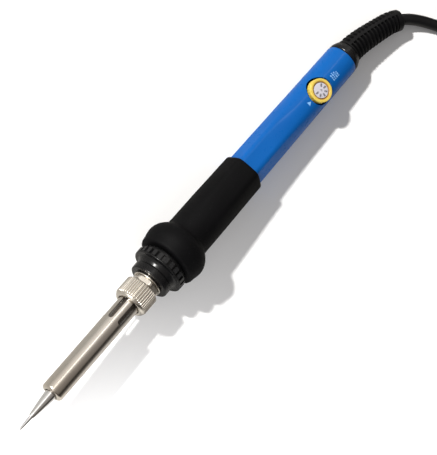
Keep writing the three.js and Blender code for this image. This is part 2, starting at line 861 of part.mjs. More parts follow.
function hankTie() {
  const [width, height] = [2 * (hankEndR + GAP), hankHeight + 2 * GAP];
  const band = outline(
    roundedRectangle(width + 2 * TIE_THICKNESS, height + 2 * TIE_THICKNESS, 2.5),
  );
  const inside = roundedRectangle(width, height, 0.6).map(([x, y]) => new THREE.Vector2(x, y));
  band.holes.push(new THREE.Path(inside));
  return alongX(band, TIE_PLACE - TIE_WIDTH / 2, TIE_WIDTH).translate(
    0,
    HANK_CENTRE[1],
    HANK_BOTTOM + hankHeight / 2,
  );
}

function plugBody() {
  const [x, y, z] = PLUG_PLACE;
  const front = PLUG_NECK + PLUG_LENGTH;
  const body = alongX(
    outline(roundedRectangle(PLUG_WIDTH, PLUG_THICKNESS, 3)),
    PLUG_NECK,
    PLUG_LENGTH,
  );
  const neck = turned(
    [
      [0, 0],
      [0, CORD_R + 1],
      [PLUG_NECK, CORD_R + 2],
      [PLUG_NECK + 1, CORD_R + 2],
      [PLUG_NECK + 1, 0],
    ],
    16,
  );
  const pockets = [-1, 1].map((side) =>
    block(
      BLADE_HIDDEN + GAP + 1,
      BLADE_THICKNESS + 2 * GAP,
      BLADE_HEIGHT + 2 * GAP,
      front - (BLADE_HIDDEN + GAP) / 2 + 0.5,
      (side * BLADE_SPACING) / 2,
      0,
    ),
  );
  return cut(join(body, [neck]), pockets).rotateZ(Math.PI).translate(x, y, z);
}

const plugBlade = (side) =>
  block(
    BLADE_LENGTH + BLADE_HIDDEN,
    BLADE_THICKNESS,
    BLADE_HEIGHT,
    PLUG_PLACE[0] - PLUG_NECK - PLUG_LENGTH - (BLADE_LENGTH - BLADE_HIDDEN) / 2,
    PLUG_PLACE[1] + (side * BLADE_SPACING) / 2,
    PLUG_PLACE[2],
  );

// ---------------------------------------------------------------- the whole object
const iron = new THREE.Group();
iron.add(
  piece('soldering_bit', bit(), finish.plate),
  piece('barrel', barrel(), finish.steel),
  piece('barrel_nut', knurledNut(), finish.nickel),
  piece('threaded_nipple', nipple(), finish.nickel),
  piece('nipple_washer', washer(), finish.nickel),
  piece('heater_rod', heaterRod(), finish.ceramic),
  piece('heater_collar', heaterCollar(), finish.ceramic),
  piece('nose_piece', nose(), finish.resin),
  piece('grip_sleeve', gripSleeve(), finish.rubber),
  piece('handle_tube', handleTube(), finish.blue),
  piece('rear_cap', rearCap(), finish.resin),
  piece('temperature_knob', temperatureKnob(), finish.yellow),
  piece('dial_plate', dialPlate(), finish.dial),
  piece('potentiometer_shaft', potentiometerShaft(), finish.brass),
  piece('potentiometer_body', potentiometerBody(), finish.black),
  piece('control_board', controlBoard(), finish.board),
  piece('triac', triac(), finish.black),
  piece('film_capacitor', filmCapacitor(), finish.red),
  piece('resistor_1', axialPart(RESISTOR, RESISTOR.side), finish.ceramic),
  piece('resistor_2', axialPart(RESISTOR, -RESISTOR.side), finish.ceramic),
  piece('diac', axialPart(DIAC, DIAC.side), finish.copper),
);
[1, -1].forEach((side, i) => {
  iron.add(piece(`heater_lead_${i + 1}`, heaterLead(side), finish.ceramic));
  iron.add(piece(`mains_wire_${i + 1}`, mainsWire(side), i ? finish.red : finish.black));
});
iron.rotation.y = restTilt;
iron.position.set(-restMiddle, 0, restHeight);

const cordSide = new THREE.Group();
cordSide.add(
  piece('strain_relief', strainRelief(), finish.rubber),
  piece('mains_cord', mainsCord(), finish.black),
  piece('cord_hank', cordHank(), finish.black),
  piece('cord_tail', cordTail(), finish.black),
  piece('hank_tie', hankTie(), finish.black),
  piece('plug_body', plugBody(), finish.black),
  piece('plug_blade_1', plugBlade(1), finish.brass),
  piece('plug_blade_2', plugBlade(-1), finish.brass),
);
cordSide.position.x = restMiddle;

const group = new THREE.Group();
group.add(iron, cordSide);

export default group;
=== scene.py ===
"""Looks of the soldering iron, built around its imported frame.

The scene is in metres. Turned and moulded pieces are drawn in millimetres on the iron's own
axes, with "along" the distance from the bit's point, and are then placed where the iron lies.
"""

import json
import math

import bmesh
import bpy
import numpy as np
from mathutils import Matrix, Vector


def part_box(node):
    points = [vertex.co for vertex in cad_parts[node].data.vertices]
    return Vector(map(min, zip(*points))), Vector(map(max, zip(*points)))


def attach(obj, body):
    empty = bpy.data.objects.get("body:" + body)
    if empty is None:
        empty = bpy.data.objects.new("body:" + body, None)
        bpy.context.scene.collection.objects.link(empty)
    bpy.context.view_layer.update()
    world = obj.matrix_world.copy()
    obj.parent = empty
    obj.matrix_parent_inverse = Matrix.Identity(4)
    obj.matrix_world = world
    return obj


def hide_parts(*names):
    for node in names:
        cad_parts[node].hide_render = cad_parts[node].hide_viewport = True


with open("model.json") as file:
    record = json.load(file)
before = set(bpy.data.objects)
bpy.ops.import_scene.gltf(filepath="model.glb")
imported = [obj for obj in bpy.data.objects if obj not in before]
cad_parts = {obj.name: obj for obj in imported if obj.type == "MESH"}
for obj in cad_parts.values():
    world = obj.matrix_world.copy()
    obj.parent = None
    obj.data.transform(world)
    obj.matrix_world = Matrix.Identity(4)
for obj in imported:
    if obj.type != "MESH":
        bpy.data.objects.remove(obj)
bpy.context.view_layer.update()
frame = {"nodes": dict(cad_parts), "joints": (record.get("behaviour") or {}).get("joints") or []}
joints = {joint["name"]: joint for joint in frame["joints"]}
TAU = 2 * math.pi
MM = 0.001

# ------------------------------------------------------------------ sizes, in millimetres
FRONT = 18.8  # barrel's mouth
BARREL_R = 4.75
BARREL_WALL = 0.5
NUT_FRONT, NUT_REAR = 67.3, 76.5
NUT_R = 7.4
NUT_CAVITY_R = 6.1
KNURLS = 40
HEX_FRONT, HEX_REAR = 76.9, 78.8
HEX_FLAT_R, HEX_CORNER_R = 5.5, 6.15
STEM_R, STEM_REAR = 4.9, 88.0
WASHER_FRONT, WASHER_REAR, WASHER_R = 79.1, 79.8, 6.4
NOSE_FRONT, NOSE_RING, NOSE_RING_REAR, NOSE_REAR = 80.1, 85.9, 89.3, 91.2
RING_R = 11.4
CASTLES = 24
GRIP_FRONT, GRIP_REAR = 91.5, 144.1
HANDLE_REAR = 213.6
HANDLE_GRIP_R, HANDLE_REAR_R, HANDLE_BORE_R = 8.08, 7.34, 5.9
HEX_ROUNDING = 0.35
HEX_TURN = math.radians(14)  # the uppermost flat leans this far from the knob, towards +Y
CAP_REAR = 218.0
KNOB_ALONG, KNOB_R, KNOB_TOP, KNOB_HEIGHT = 192.0, 5.15, 8.4, 3.5
DIAL_R = 3.35
CORD_R = 2.5
NUT_JOINT_ALONG = 72.0  # place of the nut's joint on the axis

# ------------------------------------------------------------------ the iron's own axes
back = -Vector(joints["nut_turn"]["axis"]).normalized()
side = Vector((0, 1, 0))
above = back.cross(side)
point = Vector(joints["nut_turn"]["pos_m"]) - back * NUT_JOINT_ALONG * MM
IRON = Matrix.Translation(point) @ Matrix((back, side, above)).transposed().to_4x4() @ Matrix.Scale(MM, 4)
TILT = math.atan2(-back.z, back.x)
FLAT = Matrix.Scale(MM, 4)  # millimetres on the surface's own axes
UPRIGHT = IRON @ Matrix.Translation((KNOB_ALONG, 0, 0)) @ Matrix.Rotation(-math.pi / 2, 4, "Y")
DRAWN = Matrix.Identity(4)  # a core stays in millimetres until its tree has run


def new_object(name, data):
    """An object of this name, in the scene."""
    obj = bpy.data.objects.new(name, data)
    bpy.context.scene.collection.objects.link(obj)
    return obj


# ------------------------------------------------------------------ camera
ROLL = math.radians(0.36)
NUDGE = 0.0004


def add_camera():
    """A long lens, seen from above on the bit's side, turned so that the iron runs up to the right."""
    eye = Vector((-0.25969, 0.17971, 0.74887))
    look = Vector((0.33376, -0.23159, -0.91377)).normalized()
    up = Vector((0.70833, 0.70122, 0.08100))
    right = look.cross(up).normalized()
    up = right.cross(look)
    eye += right * NUDGE
    turn, lean = math.cos(ROLL), math.sin(ROLL)
    up, right = up * turn - right * lean, right * turn + up * lean
    data = bpy.data.cameras.new("camera")
    data.sensor_fit = "VERTICAL"
    data.sensor_height = 36
    data.lens = 156.1
    data.clip_start = 0.01
    camera = new_object("camera", data)
    camera.matrix_world = Matrix.Translation(eye) @ Matrix((right, up, -look)).transposed().to_4x4()
    bpy.context.scene.camera = camera


add_camera()


# ------------------------------------------------------------------ mesh helpers
def add_object(name, vertices, faces, place=IRON, sharp=35):
    """A mesh object at the origin, with its place in its vertices and its faces pointing out."""
    mesh = bpy.data.meshes.new(name)
    mesh.from_pydata([place @ Vector(v) for v in vertices], [], faces)
    mesh.validate()
    tidy(mesh, sharp)
    return new_object(name, mesh)


def shape_object(name, shape, place=None):
    """A mesh object made of a bmesh, which is used up."""
    mesh = bpy.data.meshes.new(name)
    shape.to_mesh(mesh)
    shape.free()
    if place is not None:
        mesh.transform(place)
    tidy(mesh)
    return new_object(name, mesh)


def curve_mesh(curve):
    """The mesh of a curve or a text."""
    drawn = new_object("drawn", curve)
    bpy.context.view_layer.update()
    evaluated = drawn.evaluated_get(bpy.context.evaluated_depsgraph_get())
    mesh = bpy.data.meshes.new_from_object(evaluated)
    bpy.data.objects.remove(drawn)
    return mesh


def tidy(mesh, sharp=35, merge=True):
    """Turns the faces outwards, and shades all smooth but edges sharper than an angle in degrees."""
    shape = bmesh.new()
    shape.from_mesh(mesh)
    if merge:
        bmesh.ops.remove_doubles(shape, verts=shape.verts, dist=1e-7)
    bmesh.ops.recalc_face_normals(shape, faces=shape.faces)
    shape.to_mesh(mesh)
    shape.free()
    mesh.polygons.foreach_set("use_smooth", [True] * len(mesh.polygons))
    mesh.set_sharp_from_angle(angle=math.radians(sharp))
    mesh.update()


def fillet(profile, radius, closed=False, steps=3):
    """Rounds every corner of a profile by a radius, or by less where an edge is short."""
    points = [Vector(p) for p in profile]
    count = len(points)
    rounded = []
    for i, corner in enumerate(points):
        if not closed and i in (0, count - 1):
            rounded.append(corner)
            continue
        before, after = points[i - 1] - corner, points[(i + 1) % count] - corner
        reach = min(radius, before.length * 0.45, after.length * 0.45)
        start = corner + before.normalized() * reach
        end = corner + after.normalized() * reach
        for step in range(steps + 1):
            t = step / steps
            rounded.append(start * (1 - t) ** 2 + corner * 2 * t * (1 - t) + end * t * t)
    return [tuple(p) for p in rounded]


def smooth_line(points, spacing):
    """Points a spacing apart on a smooth curve through the given ones."""
    p = [np.array(q, float) for q in points]
    p = [2 * p[0] - p[1], *p, 2 * p[-1] - p[-2]]
    dense = []
    for a, b, c, d in zip(p, p[1:], p[2:], p[3:]):
        for t in np.linspace(0, 1, 24, endpoint=False):
            dense.append(
                0.5 * (2 * b + (c - a) * t + (2 * a - 5 * b + 4 * c - d) * t**2
                       + (3 * b - a - 3 * c + d) * t**3)
            )
    dense.append(p[-2])
    dense = np.array(dense)
    run = np.concatenate([[0], np.cumsum(np.linalg.norm(np.diff(dense, axis=0), axis=1))])
    wanted = np.linspace(0, run[-1], max(2, round(run[-1] / spacing)) + 1)
    return np.stack([np.interp(wanted, run, dense[:, i]) for i in range(3)], axis=1)


def refine(profile, spacing):
    """Splits a profile's long edges, so that a shape that changes along it stays smooth."""
    fine = []
    for (a, r), (b, s) in zip(profile, profile[1:]):
        parts = max(1, math.ceil(abs(b - a) / spacing))
        fine += [(a + (b - a) * i / parts, r + (s - r) * i / parts) for i in range(parts)]
    return fine + [profile[-1]]


def rings_mesh(rings, closed):
    """Vertices and faces of a skin over rings of points; a ring of one point closes an end."""
    vertices, faces, starts = [], [], []
    for ring in rings:
        starts.append(len(vertices))
        vertices += [tuple(p) for p in ring]
    pairs = list(zip(range(len(rings)), range(1, len(rings))))
    if closed:
        pairs.append((len(rings) - 1, 0))
    for i, j in pairs:
        n, m = len(rings[i]), len(rings[j])
        for k in range(max(n, m)):
            nxt = (k + 1) % max(n, m)
            if n == 1 and m == 1:
                break
            if n == 1:
                faces.append((starts[i], starts[j] + k, starts[j] + nxt))
            elif m == 1:
                faces.append((starts[i] + k, starts[j], starts[i] + nxt))
            else:
                faces.append((starts[i] + k, starts[j] + k, starts[j] + nxt, starts[i] + nxt))
    return vertices, faces


def turned(name, profile, segments=96, closed=False, shape=None, place=IRON, sharp=35):
    """A body turned on the iron's axis from [along, radius] pairs; shape changes its radius."""
    rings = []
    for along, radius in profile:
        if radius < 1e-4:
            rings.append([(along, 0, 0)])
            continue
        ring = []
        for i in range(segments):
            angle = TAU * i / segments
            r = shape(along, radius, angle) if shape else radius
            ring.append((along, r * math.sin(angle), r * math.cos(angle)))
        rings.append(ring)
    return add_object(name, *rings_mesh(rings, closed), place, sharp)


def hexagon_share(angle):
    """Radius of a rounded hexagon at an angle from the knob's side, over its corner radius."""
    sector = math.pi / 3
    angle -= HEX_TURN
    folded = abs(angle - sector * round(angle / sector))
    centre = (1 - HEX_ROUNDING) / math.cos(sector / 2)
    tangent = math.atan((1 - HEX_ROUNDING) * math.tan(sector / 2))
    off = sector / 2 - folded
    if folded < tangent:
        reach = 1 / math.cos(folded)
    else:
        reach = centre * math.cos(off) + math.sqrt(HEX_ROUNDING**2 - (centre * math.sin(off)) ** 2)
    return reach / (centre + HEX_ROUNDING)


def between(x, low, high):
    return min(1.0, max(0.0, (x - low) / (high - low)))


# ------------------------------------------------------------------ Geometry Nodes
def round_axis_tree(name, cut):
    """Copies an item round the X axis, and joins the copies to the core or cuts them from it."""
    tree = bpy.data.node_groups.new(name, "GeometryNodeTree")
    for label, kind in (
        ("Core", "NodeSocketGeometry"), ("Item", "NodeSocketObject"), ("Count", "NodeSocketInt"),
        ("Turn", "NodeSocketFloat"), ("Finish", "NodeSocketMaterial"),
    ):
        tree.interface.new_socket(label, in_out="INPUT", socket_type=kind)
    tree.interface.new_socket("Whole", in_out="OUTPUT", socket_type="NodeSocketGeometry")
    node, link = tree.nodes.new, tree.links.new
    given, result = node("NodeGroupInput"), node("NodeGroupOutput")
    spots, item = node("GeometryNodePoints"), node("GeometryNodeObjectInfo")
    copies, real = node("GeometryNodeInstanceOnPoints"), node("GeometryNodeRealizeInstances")
    index, step, angle = node("GeometryNodeInputIndex"), node("ShaderNodeMath"), node("ShaderNodeMath")
    spin, coat = node("ShaderNodeCombineXYZ"), node("GeometryNodeSetMaterial")
    step.operation = "DIVIDE"
    step.inputs[0].default_value = TAU
    angle.operation = "MULTIPLY_ADD"
    link(given.outputs["Count"], spots.inputs["Count"])
    link(given.outputs["Item"], item.inputs["Object"])
    link(given.outputs["Count"], step.inputs[1])
    link(index.outputs[0], angle.inputs[0])
    link(step.outputs[0], angle.inputs[1])
    link(given.outputs["Turn"], angle.inputs[2])
    link(angle.outputs[0], spin.inputs["X"])
    link(spots.outputs[0], copies.inputs["Points"])
    link(item.outputs["Geometry"], copies.inputs["Instance"])
    link(spin.outputs[0], copies.inputs["Rotation"])
    link(copies.outputs[0], real.inputs[0])
    if cut:
        join = node("GeometryNodeMeshBoolean")
        join.operation = "DIFFERENCE"
        link(given.outputs["Core"], join.inputs["Mesh 1"])
        link(real.outputs[0], join.inputs["Mesh 2"])
    else:
        join = node("GeometryNodeJoinGeometry")
        link(given.outputs["Core"], join.inputs[0])
        link(real.outputs[0], join.inputs[0])
    link(join.outputs[0], coat.inputs["Geometry"])
    link(given.outputs["Finish"], coat.inputs["Material"])
    link(coat.outputs[0], result.inputs["Whole"])
    return tree


copies_round_axis = round_axis_tree("copies_round_axis", cut=False)
cuts_round_axis = round_axis_tree("cuts_round_axis", cut=True)


def round_axis(core, item, count, turn, finish, tree, place=IRON, sharp=35):
    """Runs a tree on a core drawn in millimetres, makes it a plain mesh and places it."""
    modifier = core.modifiers.new("round_axis", "NODES")
    modifier.node_group = tree
    sockets = {s.name: s.identifier for s in tree.interface.items_tree if s.in_out == "INPUT"}
    modifier[sockets["Item"]] = item
    modifier[sockets["Count"]] = count
    modifier[sockets["Turn"]] = turn
    modifier[sockets["Finish"]] = finish
    bpy.context.view_layer.update()
    evaluated = core.evaluated_get(bpy.context.evaluated_depsgraph_get())
    mesh = bpy.data.meshes.new_from_object(evaluated)
    core.modifiers.clear()
    core.data = mesh
    bpy.data.objects.remove(item)
    mesh.transform(place)
    tidy(mesh, sharp, merge=False)
    mesh.materials.clear()
    mesh.materials.append(finish)
    return core


# ------------------------------------------------------------------ shader groups
def new_group(name, inputs, outputs):
    group = bpy.data.node_groups.new(name, "ShaderNodeTree")
    for label, kind, value in inputs:
        socket = group.interface.new_socket(label, in_out="INPUT", socket_type=kind)
        if value is not None:
            socket.default_value = value
    for label, kind in outputs:
        group.interface.new_socket(label, in_out="OUTPUT", socket_type=kind)
    return group, group.nodes.new("NodeGroupInput"), group.nodes.new("NodeGroupOutput")


def fill_group(group, nodes, links):
    """Adds nodes as name: (kind, operation, input values), then links as (from, output, to, input)."""
    made = {node.name: node for node in group.nodes}
    for name, (kind, operation, values) in nodes.items():
        made[name] = group.nodes.new("ShaderNode" + kind)
        if operation:
            made[name].operation = operation
        for label, value in values.items():
            made[name].inputs[label].default_value = value
    for source, output, target, label in links:
        group.links.new(made[source].outputs[output], made[target].inputs[label])


def grain_group():
    """Fine grain, stretched along or round a piece, with a slow drift over it."""
    group, given, result = new_group(
        "grain",
        [("Place", "NodeSocketVector", None), ("Stretch", "NodeSocketVector", (1, 1, 1)),
         ("Fineness", "NodeSocketFloat", 2.0), ("Drift", "NodeSocketFloat", 0.08)],
        [("Height", "NodeSocketFloat"), ("Cloud", "NodeSocketFloat")],
    )
    fill_group(
        group,
        {"stretched": ("VectorMath", "MULTIPLY", {}), "fine": ("TexNoise", None, {"Detail": 3}),
         "slow": ("TexNoise", None, {"Detail": 4, "Roughness": 0.6})},
        [(given.name, "Place", "stretched", 0), (given.name, "Stretch", "stretched", 1),
         ("stretched", 0, "fine", "Vector"), (given.name, "Fineness", "fine", "Scale"),
         (given.name, "Place", "slow", "Vector"), (given.name, "Drift", "slow", "Scale"),
         ("fine", "Fac", result.name, "Height"), ("slow", "Fac", result.name, "Cloud")],
    )
    return group


def wear_group():
    """A mask of worn edges, broken up by noise."""
    group, given, result = new_group(
        "edge_wear",
        [("Place", "NodeSocketVector", None), ("Amount", "NodeSocketFloat", 0.5)],
        [("Worn", "NodeSocketFloat")],
    )
    fill_group(
        group,
        {"edge": ("NewGeometry", None, {}), "noise": ("TexNoise", None, {"Scale": 1.4}),
         "ramp": ("MapRange", None, {"From Min": 0.52, "From Max": 0.62}),
         "broken": ("Math", "MULTIPLY", {}), "scaled": ("Math", "MULTIPLY", {})},
        [(given.name, "Place", "noise", "Vector"), ("edge", "Pointiness", "ramp", "Value"),
         ("ramp", 0, "broken", 0), ("noise", "Fac", "broken", 1), ("broken", 0, "scaled", 0),
         (given.name, "Amount", "scaled", 1), ("scaled", 0, result.name, "Worn")],
    )
    return group


def dust_group():
    """Sparse pale specks."""
    group, given, result = new_group(
        "dust",
        [("Place", "NodeSocketVector", None), ("Spacing", "NodeSocketFloat", 0.5),
         ("Amount", "NodeSocketFloat", 0.4)],
        [("Specks", "NodeSocketFloat")],
    )
    fill_group(
        group,
        {"cells": ("TexVoronoi", None, {}), "ramp": ("MapRange", None, {"From Min": 0.09, "From Max": 0.03}),
         "scaled": ("Math", "MULTIPLY", {})},
        [(given.name, "Place", "cells", "Vector"), (given.name, "Spacing", "cells", "Scale"),
         ("cells", "Distance", "ramp", "Value"), ("ramp", 0, "scaled", 0),
         (given.name, "Amount", "scaled", 1), ("scaled", 0, result.name, "Specks")],
    )
    return group


grain, edge_wear, dust = grain_group(), wear_group(), dust_group()


# ------------------------------------------------------------------ finishes
class Finish:
    """A material with grain, drift, worn edges and dust, read in millimetres on the iron's axes."""

    def __init__(self, name, colour, second, rough, metallic=0.0, stretch=(1, 1, 1), fineness=2.0,
                 drift=0.08, depth=0.02, wear=None, worn=0.0, specks=0.0, level=0.5):
        self.material = bpy.data.materials.new(name)
        self.material.use_nodes = True
        self.nodes, self.link = self.material.node_tree.nodes, self.material.node_tree.links.new
        self.shader = self.nodes["Principled BSDF"]
        self.shader.inputs["Metallic"].default_value = metallic
        self.shader.inputs["Specular IOR Level"].default_value = level
        spot, self.place = self.nodes.new("ShaderNodeTexCoord"), self.nodes.new("ShaderNodeMapping")
        self.place.vector_type = "TEXTURE"
        self.place.inputs["Location"].default_value = point
        self.place.inputs["Rotation"].default_value = (0, TILT, 0)
        self.place.inputs["Scale"].default_value = (MM, MM, MM)
        self.link(spot.outputs["Object"], self.place.inputs["Vector"])
        texture = self.group(grain, Place=self.place.outputs[0], Stretch=stretch,
                             Fineness=fineness, Drift=drift)
        self.height, self.cloud = texture.outputs["Height"], texture.outputs["Cloud"]
        self.colour = self.blend(self.ramp(self.cloud, 0.35, 0.65), colour, second)
        if wear:
            mask = self.group(edge_wear, Place=self.place.outputs[0], Amount=worn).outputs[0]
            self.colour = self.blend(mask, self.colour, wear)
        if specks:
            mask = self.group(dust, Place=self.place.outputs[0], Spacing=0.9, Amount=specks).outputs[0]
            self.colour = self.blend(mask, self.colour, (0.5, 0.5, 0.5))
        self.rough = self.ramp(self.height, 0.3, 0.7, *rough)
        bump = self.nodes.new("ShaderNodeBump")
        bump.inputs["Strength"].default_value = 0.5
        bump.inputs["Distance"].default_value = depth * MM
        self.link(self.height, bump.inputs["Height"])
        self.link(bump.outputs[0], self.shader.inputs["Normal"])
        self.wire()

    def wire(self):
        self.link(self.colour, self.shader.inputs["Base Color"])
        self.link(self.rough, self.shader.inputs["Roughness"])

    def group(self, tree, **values):
        node = self.nodes.new("ShaderNodeGroup")
        node.node_tree = tree
        for label, value in values.items():
            if hasattr(value, "is_linked"):
                self.link(value, node.inputs[label])
            else:
                node.inputs[label].default_value = value
        return node

    def ramp(self, value, low, high, to_low=0.0, to_high=1.0):
        node = self.nodes.new("ShaderNodeMapRange")
        for label, number in (("From Min", low), ("From Max", high), ("To Min", to_low), ("To Max", to_high)):
            node.inputs[label].default_value = number
        self.link(value, node.inputs["Value"])
        return node.outputs[0]

    def blend(self, factor, first, second):
        node = self.nodes.new("ShaderNodeMix")
        node.data_type = "RGBA"
        self.link(factor, node.inputs["Factor"])
        for socket, value in ((node.inputs[6], first), (node.inputs[7], second)):
            if hasattr(value, "is_linked"):
                self.link(value, socket)
            else:
                socket.default_value = (*value, 1)
        return node.outputs[2]

    def along(self):
        node = self.nodes.new("ShaderNodeSeparateXYZ")
        self.link(self.place.outputs[0], node.inputs[0])
        return node.outputs["X"]

    def heat_tint(self, start, end, colour):
        """A tint that grows towards the hot end."""
        factor = self.ramp(self.along(), end, start, 0.0, 0.55)
        self.colour = self.blend(factor, self.colour, colour)
        self.wire()
        return self


def tinned_plate():
    look = Finish("tinned_plate", (0.80, 0.80, 0.80), (0.70, 0.69, 0.68), (0.08, 0.14), 1.0,
                  stretch=(0.15, 1, 1), fineness=3.0, depth=0.001)
    edge = look.ramp(look.along(), 6.7, 7.1)
    look.colour = look.blend(edge, (0.72, 0.72, 0.73), look.colour)
    look.wire()
    return look.material


def satin_steel():
    look = Finish("satin_steel", (0.64, 0.60, 0.55), (0.58, 0.545, 0.50), (0.15, 0.22), 1.0,
                  stretch=(0.05, 1.5, 1.5), fineness=4.0, drift=0.12, depth=0.002,
                  wear=(0.75, 0.72, 0.68), worn=0.6)
    return look.heat_tint(18, 44, (0.56, 0.50, 0.42)).material


def bright_nickel():
    return Finish("bright_nickel", (0.74, 0.70, 0.63), (0.68, 0.63, 0.56), (0.18, 0.26), 1.0,
                  stretch=(1, 1, 1), fineness=1.0, depth=0.001,
                  wear=(0.88, 0.85, 0.80), worn=0.35).material


def fired_ceramic():
    """Ceramic browned by use."""
    return Finish("fired_ceramic", (0.085, 0.072, 0.06), (0.05, 0.043, 0.037), (0.22, 0.34),
                  depth=0.01).material


def black_resin():
    return Finish("black_resin", (0.003, 0.003, 0.0033), (0.005, 0.005, 0.0054), (0.2, 0.3), level=0.24,
                  stretch=(1, 1, 1), fineness=1.6, depth=0.012, wear=(0.03, 0.03, 0.031), worn=0.7).material


def grip_rubber():
    return Finish("grip_rubber", (0.0025, 0.0025, 0.0028), (0.0035, 0.0035, 0.004), (0.52, 0.66), level=0.06,
                  fineness=7.0, drift=0.05, depth=0.03, specks=0.06).material


def blue_moulding():
    look = Finish("blue_moulding", (0.001, 0.097, 0.365), (0.001, 0.091, 0.35), (0.26, 0.34), level=0.06,
                  fineness=0.5, drift=0.05, depth=0.0012, wear=(0.02, 0.2, 0.6), worn=0.15)
    look.shader.inputs["Coat Weight"].default_value = 0.3
    look.shader.inputs["Coat Roughness"].default_value = 0.06
    return look.material


def yellow_moulding():
    """Yellow plastic, with painted shade: a darker brown ring in the groove round the dial."""
    look = Finish("yellow_moulding", (0.74, 0.56, 0.105), (0.70, 0.51, 0.085), (0.32, 0.42), level=0.4,
                  fineness=2.0, drift=0.2, depth=0.004, wear=(0.8, 0.68, 0.25), worn=0.4)
    flat, reach = look.nodes.new("ShaderNodeVectorMath"), look.nodes.new("ShaderNodeVectorMath")
    flat.operation, reach.operation = "MULTIPLY", "DISTANCE"
    flat.inputs[1].default_value = (1, 1, 0)
    reach.inputs[1].default_value = (KNOB_ALONG, 0, 0)
    look.link(look.place.outputs[0], flat.inputs[0])
    look.link(flat.outputs[0], reach.inputs[0])
    # painted shade: a radial ramp colours the groove round the dial darker brown in place of the shade inside
    # it
    ring = look.ramp(reach.outputs["Value"], DIAL_R + 0.85, DIAL_R + 0.6)
    look.colour = look.blend(ring, look.colour, (0.46, 0.25, 0.05))
    look.wire()
    return look.material


def dial_card():
    return Finish("dial_card", (0.60, 0.58, 0.64), (0.55, 0.53, 0.58), (0.4, 0.5),
                  fineness=6, depth=0.003).material


def boot_rubber():
    return Finish("boot_rubber", (0.0026, 0.0026, 0.003), (0.0038, 0.0038, 0.0042), (0.36, 0.48), level=0.15,
                  fineness=4.0, depth=0.015, wear=(0.02, 0.02, 0.02), worn=0.6).material


def cord_sheath():
    return Finish("cord_sheath", (0.0045, 0.0045, 0.005), (0.0065, 0.0065, 0.007), (0.32, 0.42), level=0.25,
                  stretch=(0.6, 0.6, 0.6), fineness=3.0, drift=0.03, depth=0.012).material


def strap_weave():
    look = Finish("strap_weave", (0.015, 0.015, 0.016), (0.025, 0.025, 0.027), (0.7, 0.9), depth=0.01)
    waves = look.nodes.new("ShaderNodeTexWave")
    waves.inputs["Scale"].default_value = 0.9
    waves.inputs["Distortion"].default_value = 1.5
    look.link(look.place.outputs[0], waves.inputs["Vector"])
    look.colour = look.blend(waves.outputs["Fac"], look.colour, (0.035, 0.035, 0.037))
    look.wire()
    return look.material


def plug_moulding():
    return Finish("plug_moulding", (0.006, 0.006, 0.0065), (0.009, 0.009, 0.0095), (0.36, 0.46), level=0.35,
                  fineness=5.0, depth=0.02, wear=(0.05, 0.05, 0.05), worn=0.6).material


def blade_brass():
    return Finish("blade_brass", (0.78, 0.70, 0.52), (0.66, 0.56, 0.38), (0.22, 0.35), 1.0,
                  stretch=(0.2, 2, 2), depth=0.006).material


def board_mask():
    """Green solder mask with copper tracks under it."""
    look = Finish("board_mask", (0.02, 0.13, 0.05), (0.03, 0.17, 0.06), (0.3, 0.4), depth=0.01)
    tracks = look.nodes.new("ShaderNodeTexBrick")
    tracks.inputs["Scale"].default_value = 0.35
    tracks.inputs["Mortar Size"].default_value = 0.05
    look.link(look.place.outputs[0], tracks.inputs["Vector"])
    look.colour = look.blend(tracks.outputs["Fac"], look.colour, (0.05, 0.24, 0.09))
    look.wire()
    return look.material


def plain_part(name, colour, second, rough=(0.4, 0.55), metallic=0.0):
    return Finish(name, colour, second, rough, metallic, fineness=3.0, depth=0.01).material


def white_ink():
    return Finish("white_ink", (0.17, 0.40, 0.74), (0.22, 0.45, 0.78), (0.4, 0.5),
                  fineness=4, depth=0.002).material


def black_ink():
    return Finish("black_ink", (0.012, 0.012, 0.014), (0.03, 0.03, 0.035), (0.4, 0.5),
                  fineness=4, depth=0.002).material


plate, steel, nickel, ceramic = tinned_plate(), satin_steel(), bright_nickel(), fired_ceramic()
resin, rubber, blue, yellow = black_resin(), grip_rubber(), blue_moulding(), yellow_moulding()
card, boot_black, sheath, weave = dial_card(), boot_rubber(), cord_sheath(), strap_weave()
plug_black, brass, pale_ink, dark_ink = plug_moulding(), blade_brass(), white_ink(), black_ink()


def finish_piece(obj, look, body, slot, *nodes):
    """Gives a finished piece its material and body, and hides the CAD nodes that it stands for; slot is not
    used.
    """
    obj.data.materials.clear()
    obj.data.materials.append(look)
    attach(obj, body)
    if nodes:
        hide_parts(*nodes)
    return obj


# ------------------------------------------------------------------ cord, repeated from the part's source
CAP_END = (point + back * CAP_REAR * MM).x  # the routes start at the rear cap's end
BOOT_ROUTE = [
    (0.0048, -0.0004, 0.0068), (0.0097, -0.0013, 0.0065), (0.0155, -0.0027, 0.0060),
    (0.0223, -0.0045, 0.0055), (0.0261, -0.0058, 0.0052), (0.0296, -0.0076, 0.0049),
]
CORD_ROUTE = [
    (0.03005, -0.0079, 0.00483), (0.0321, -0.0093, 0.0045), (0.0344, -0.01125, 0.0041),
    (0.0365, -0.0134, 0.0037), (0.0384, -0.0157, 0.0033), (0.0402, -0.0181, 0.0030),
    (0.0424, -0.0215, 0.0027), (0.0445, -0.0252, 0.0026), (0.0472, -0.0293, 0.0026),
    (0.0507, -0.0329, 0.0027), (0.0550, -0.0357, 0.0029), (0.0598, -0.0372, 0.0032),
    (0.0647, -0.03765, 0.0035), (0.0696, -0.03765, 0.00375),
]
TAIL_ROUTE = [
    (0.1282, -0.00245, 0.0198), (0.1232, -0.0023, 0.0212), (0.1182, -0.0020, 0.0223),
    (0.1122, -0.0015, 0.0231), (0.1062, -0.0011, 0.0235), (0.1030, -0.0010, 0.0236),
]
HANK_MIDDLE = (0.1114, -0.01745)
HANK_HALF = 0.027  # half the straight run
HANK_SLOTS = [(0.0202, 0), (0.015, 0), (0.015, 1), (0.0202, 1), (0.0202, 2), (0.015, 2)]  # fold radius, layer
HANK_LOWEST = 0.0038
HANK_LAYER = 0.0052
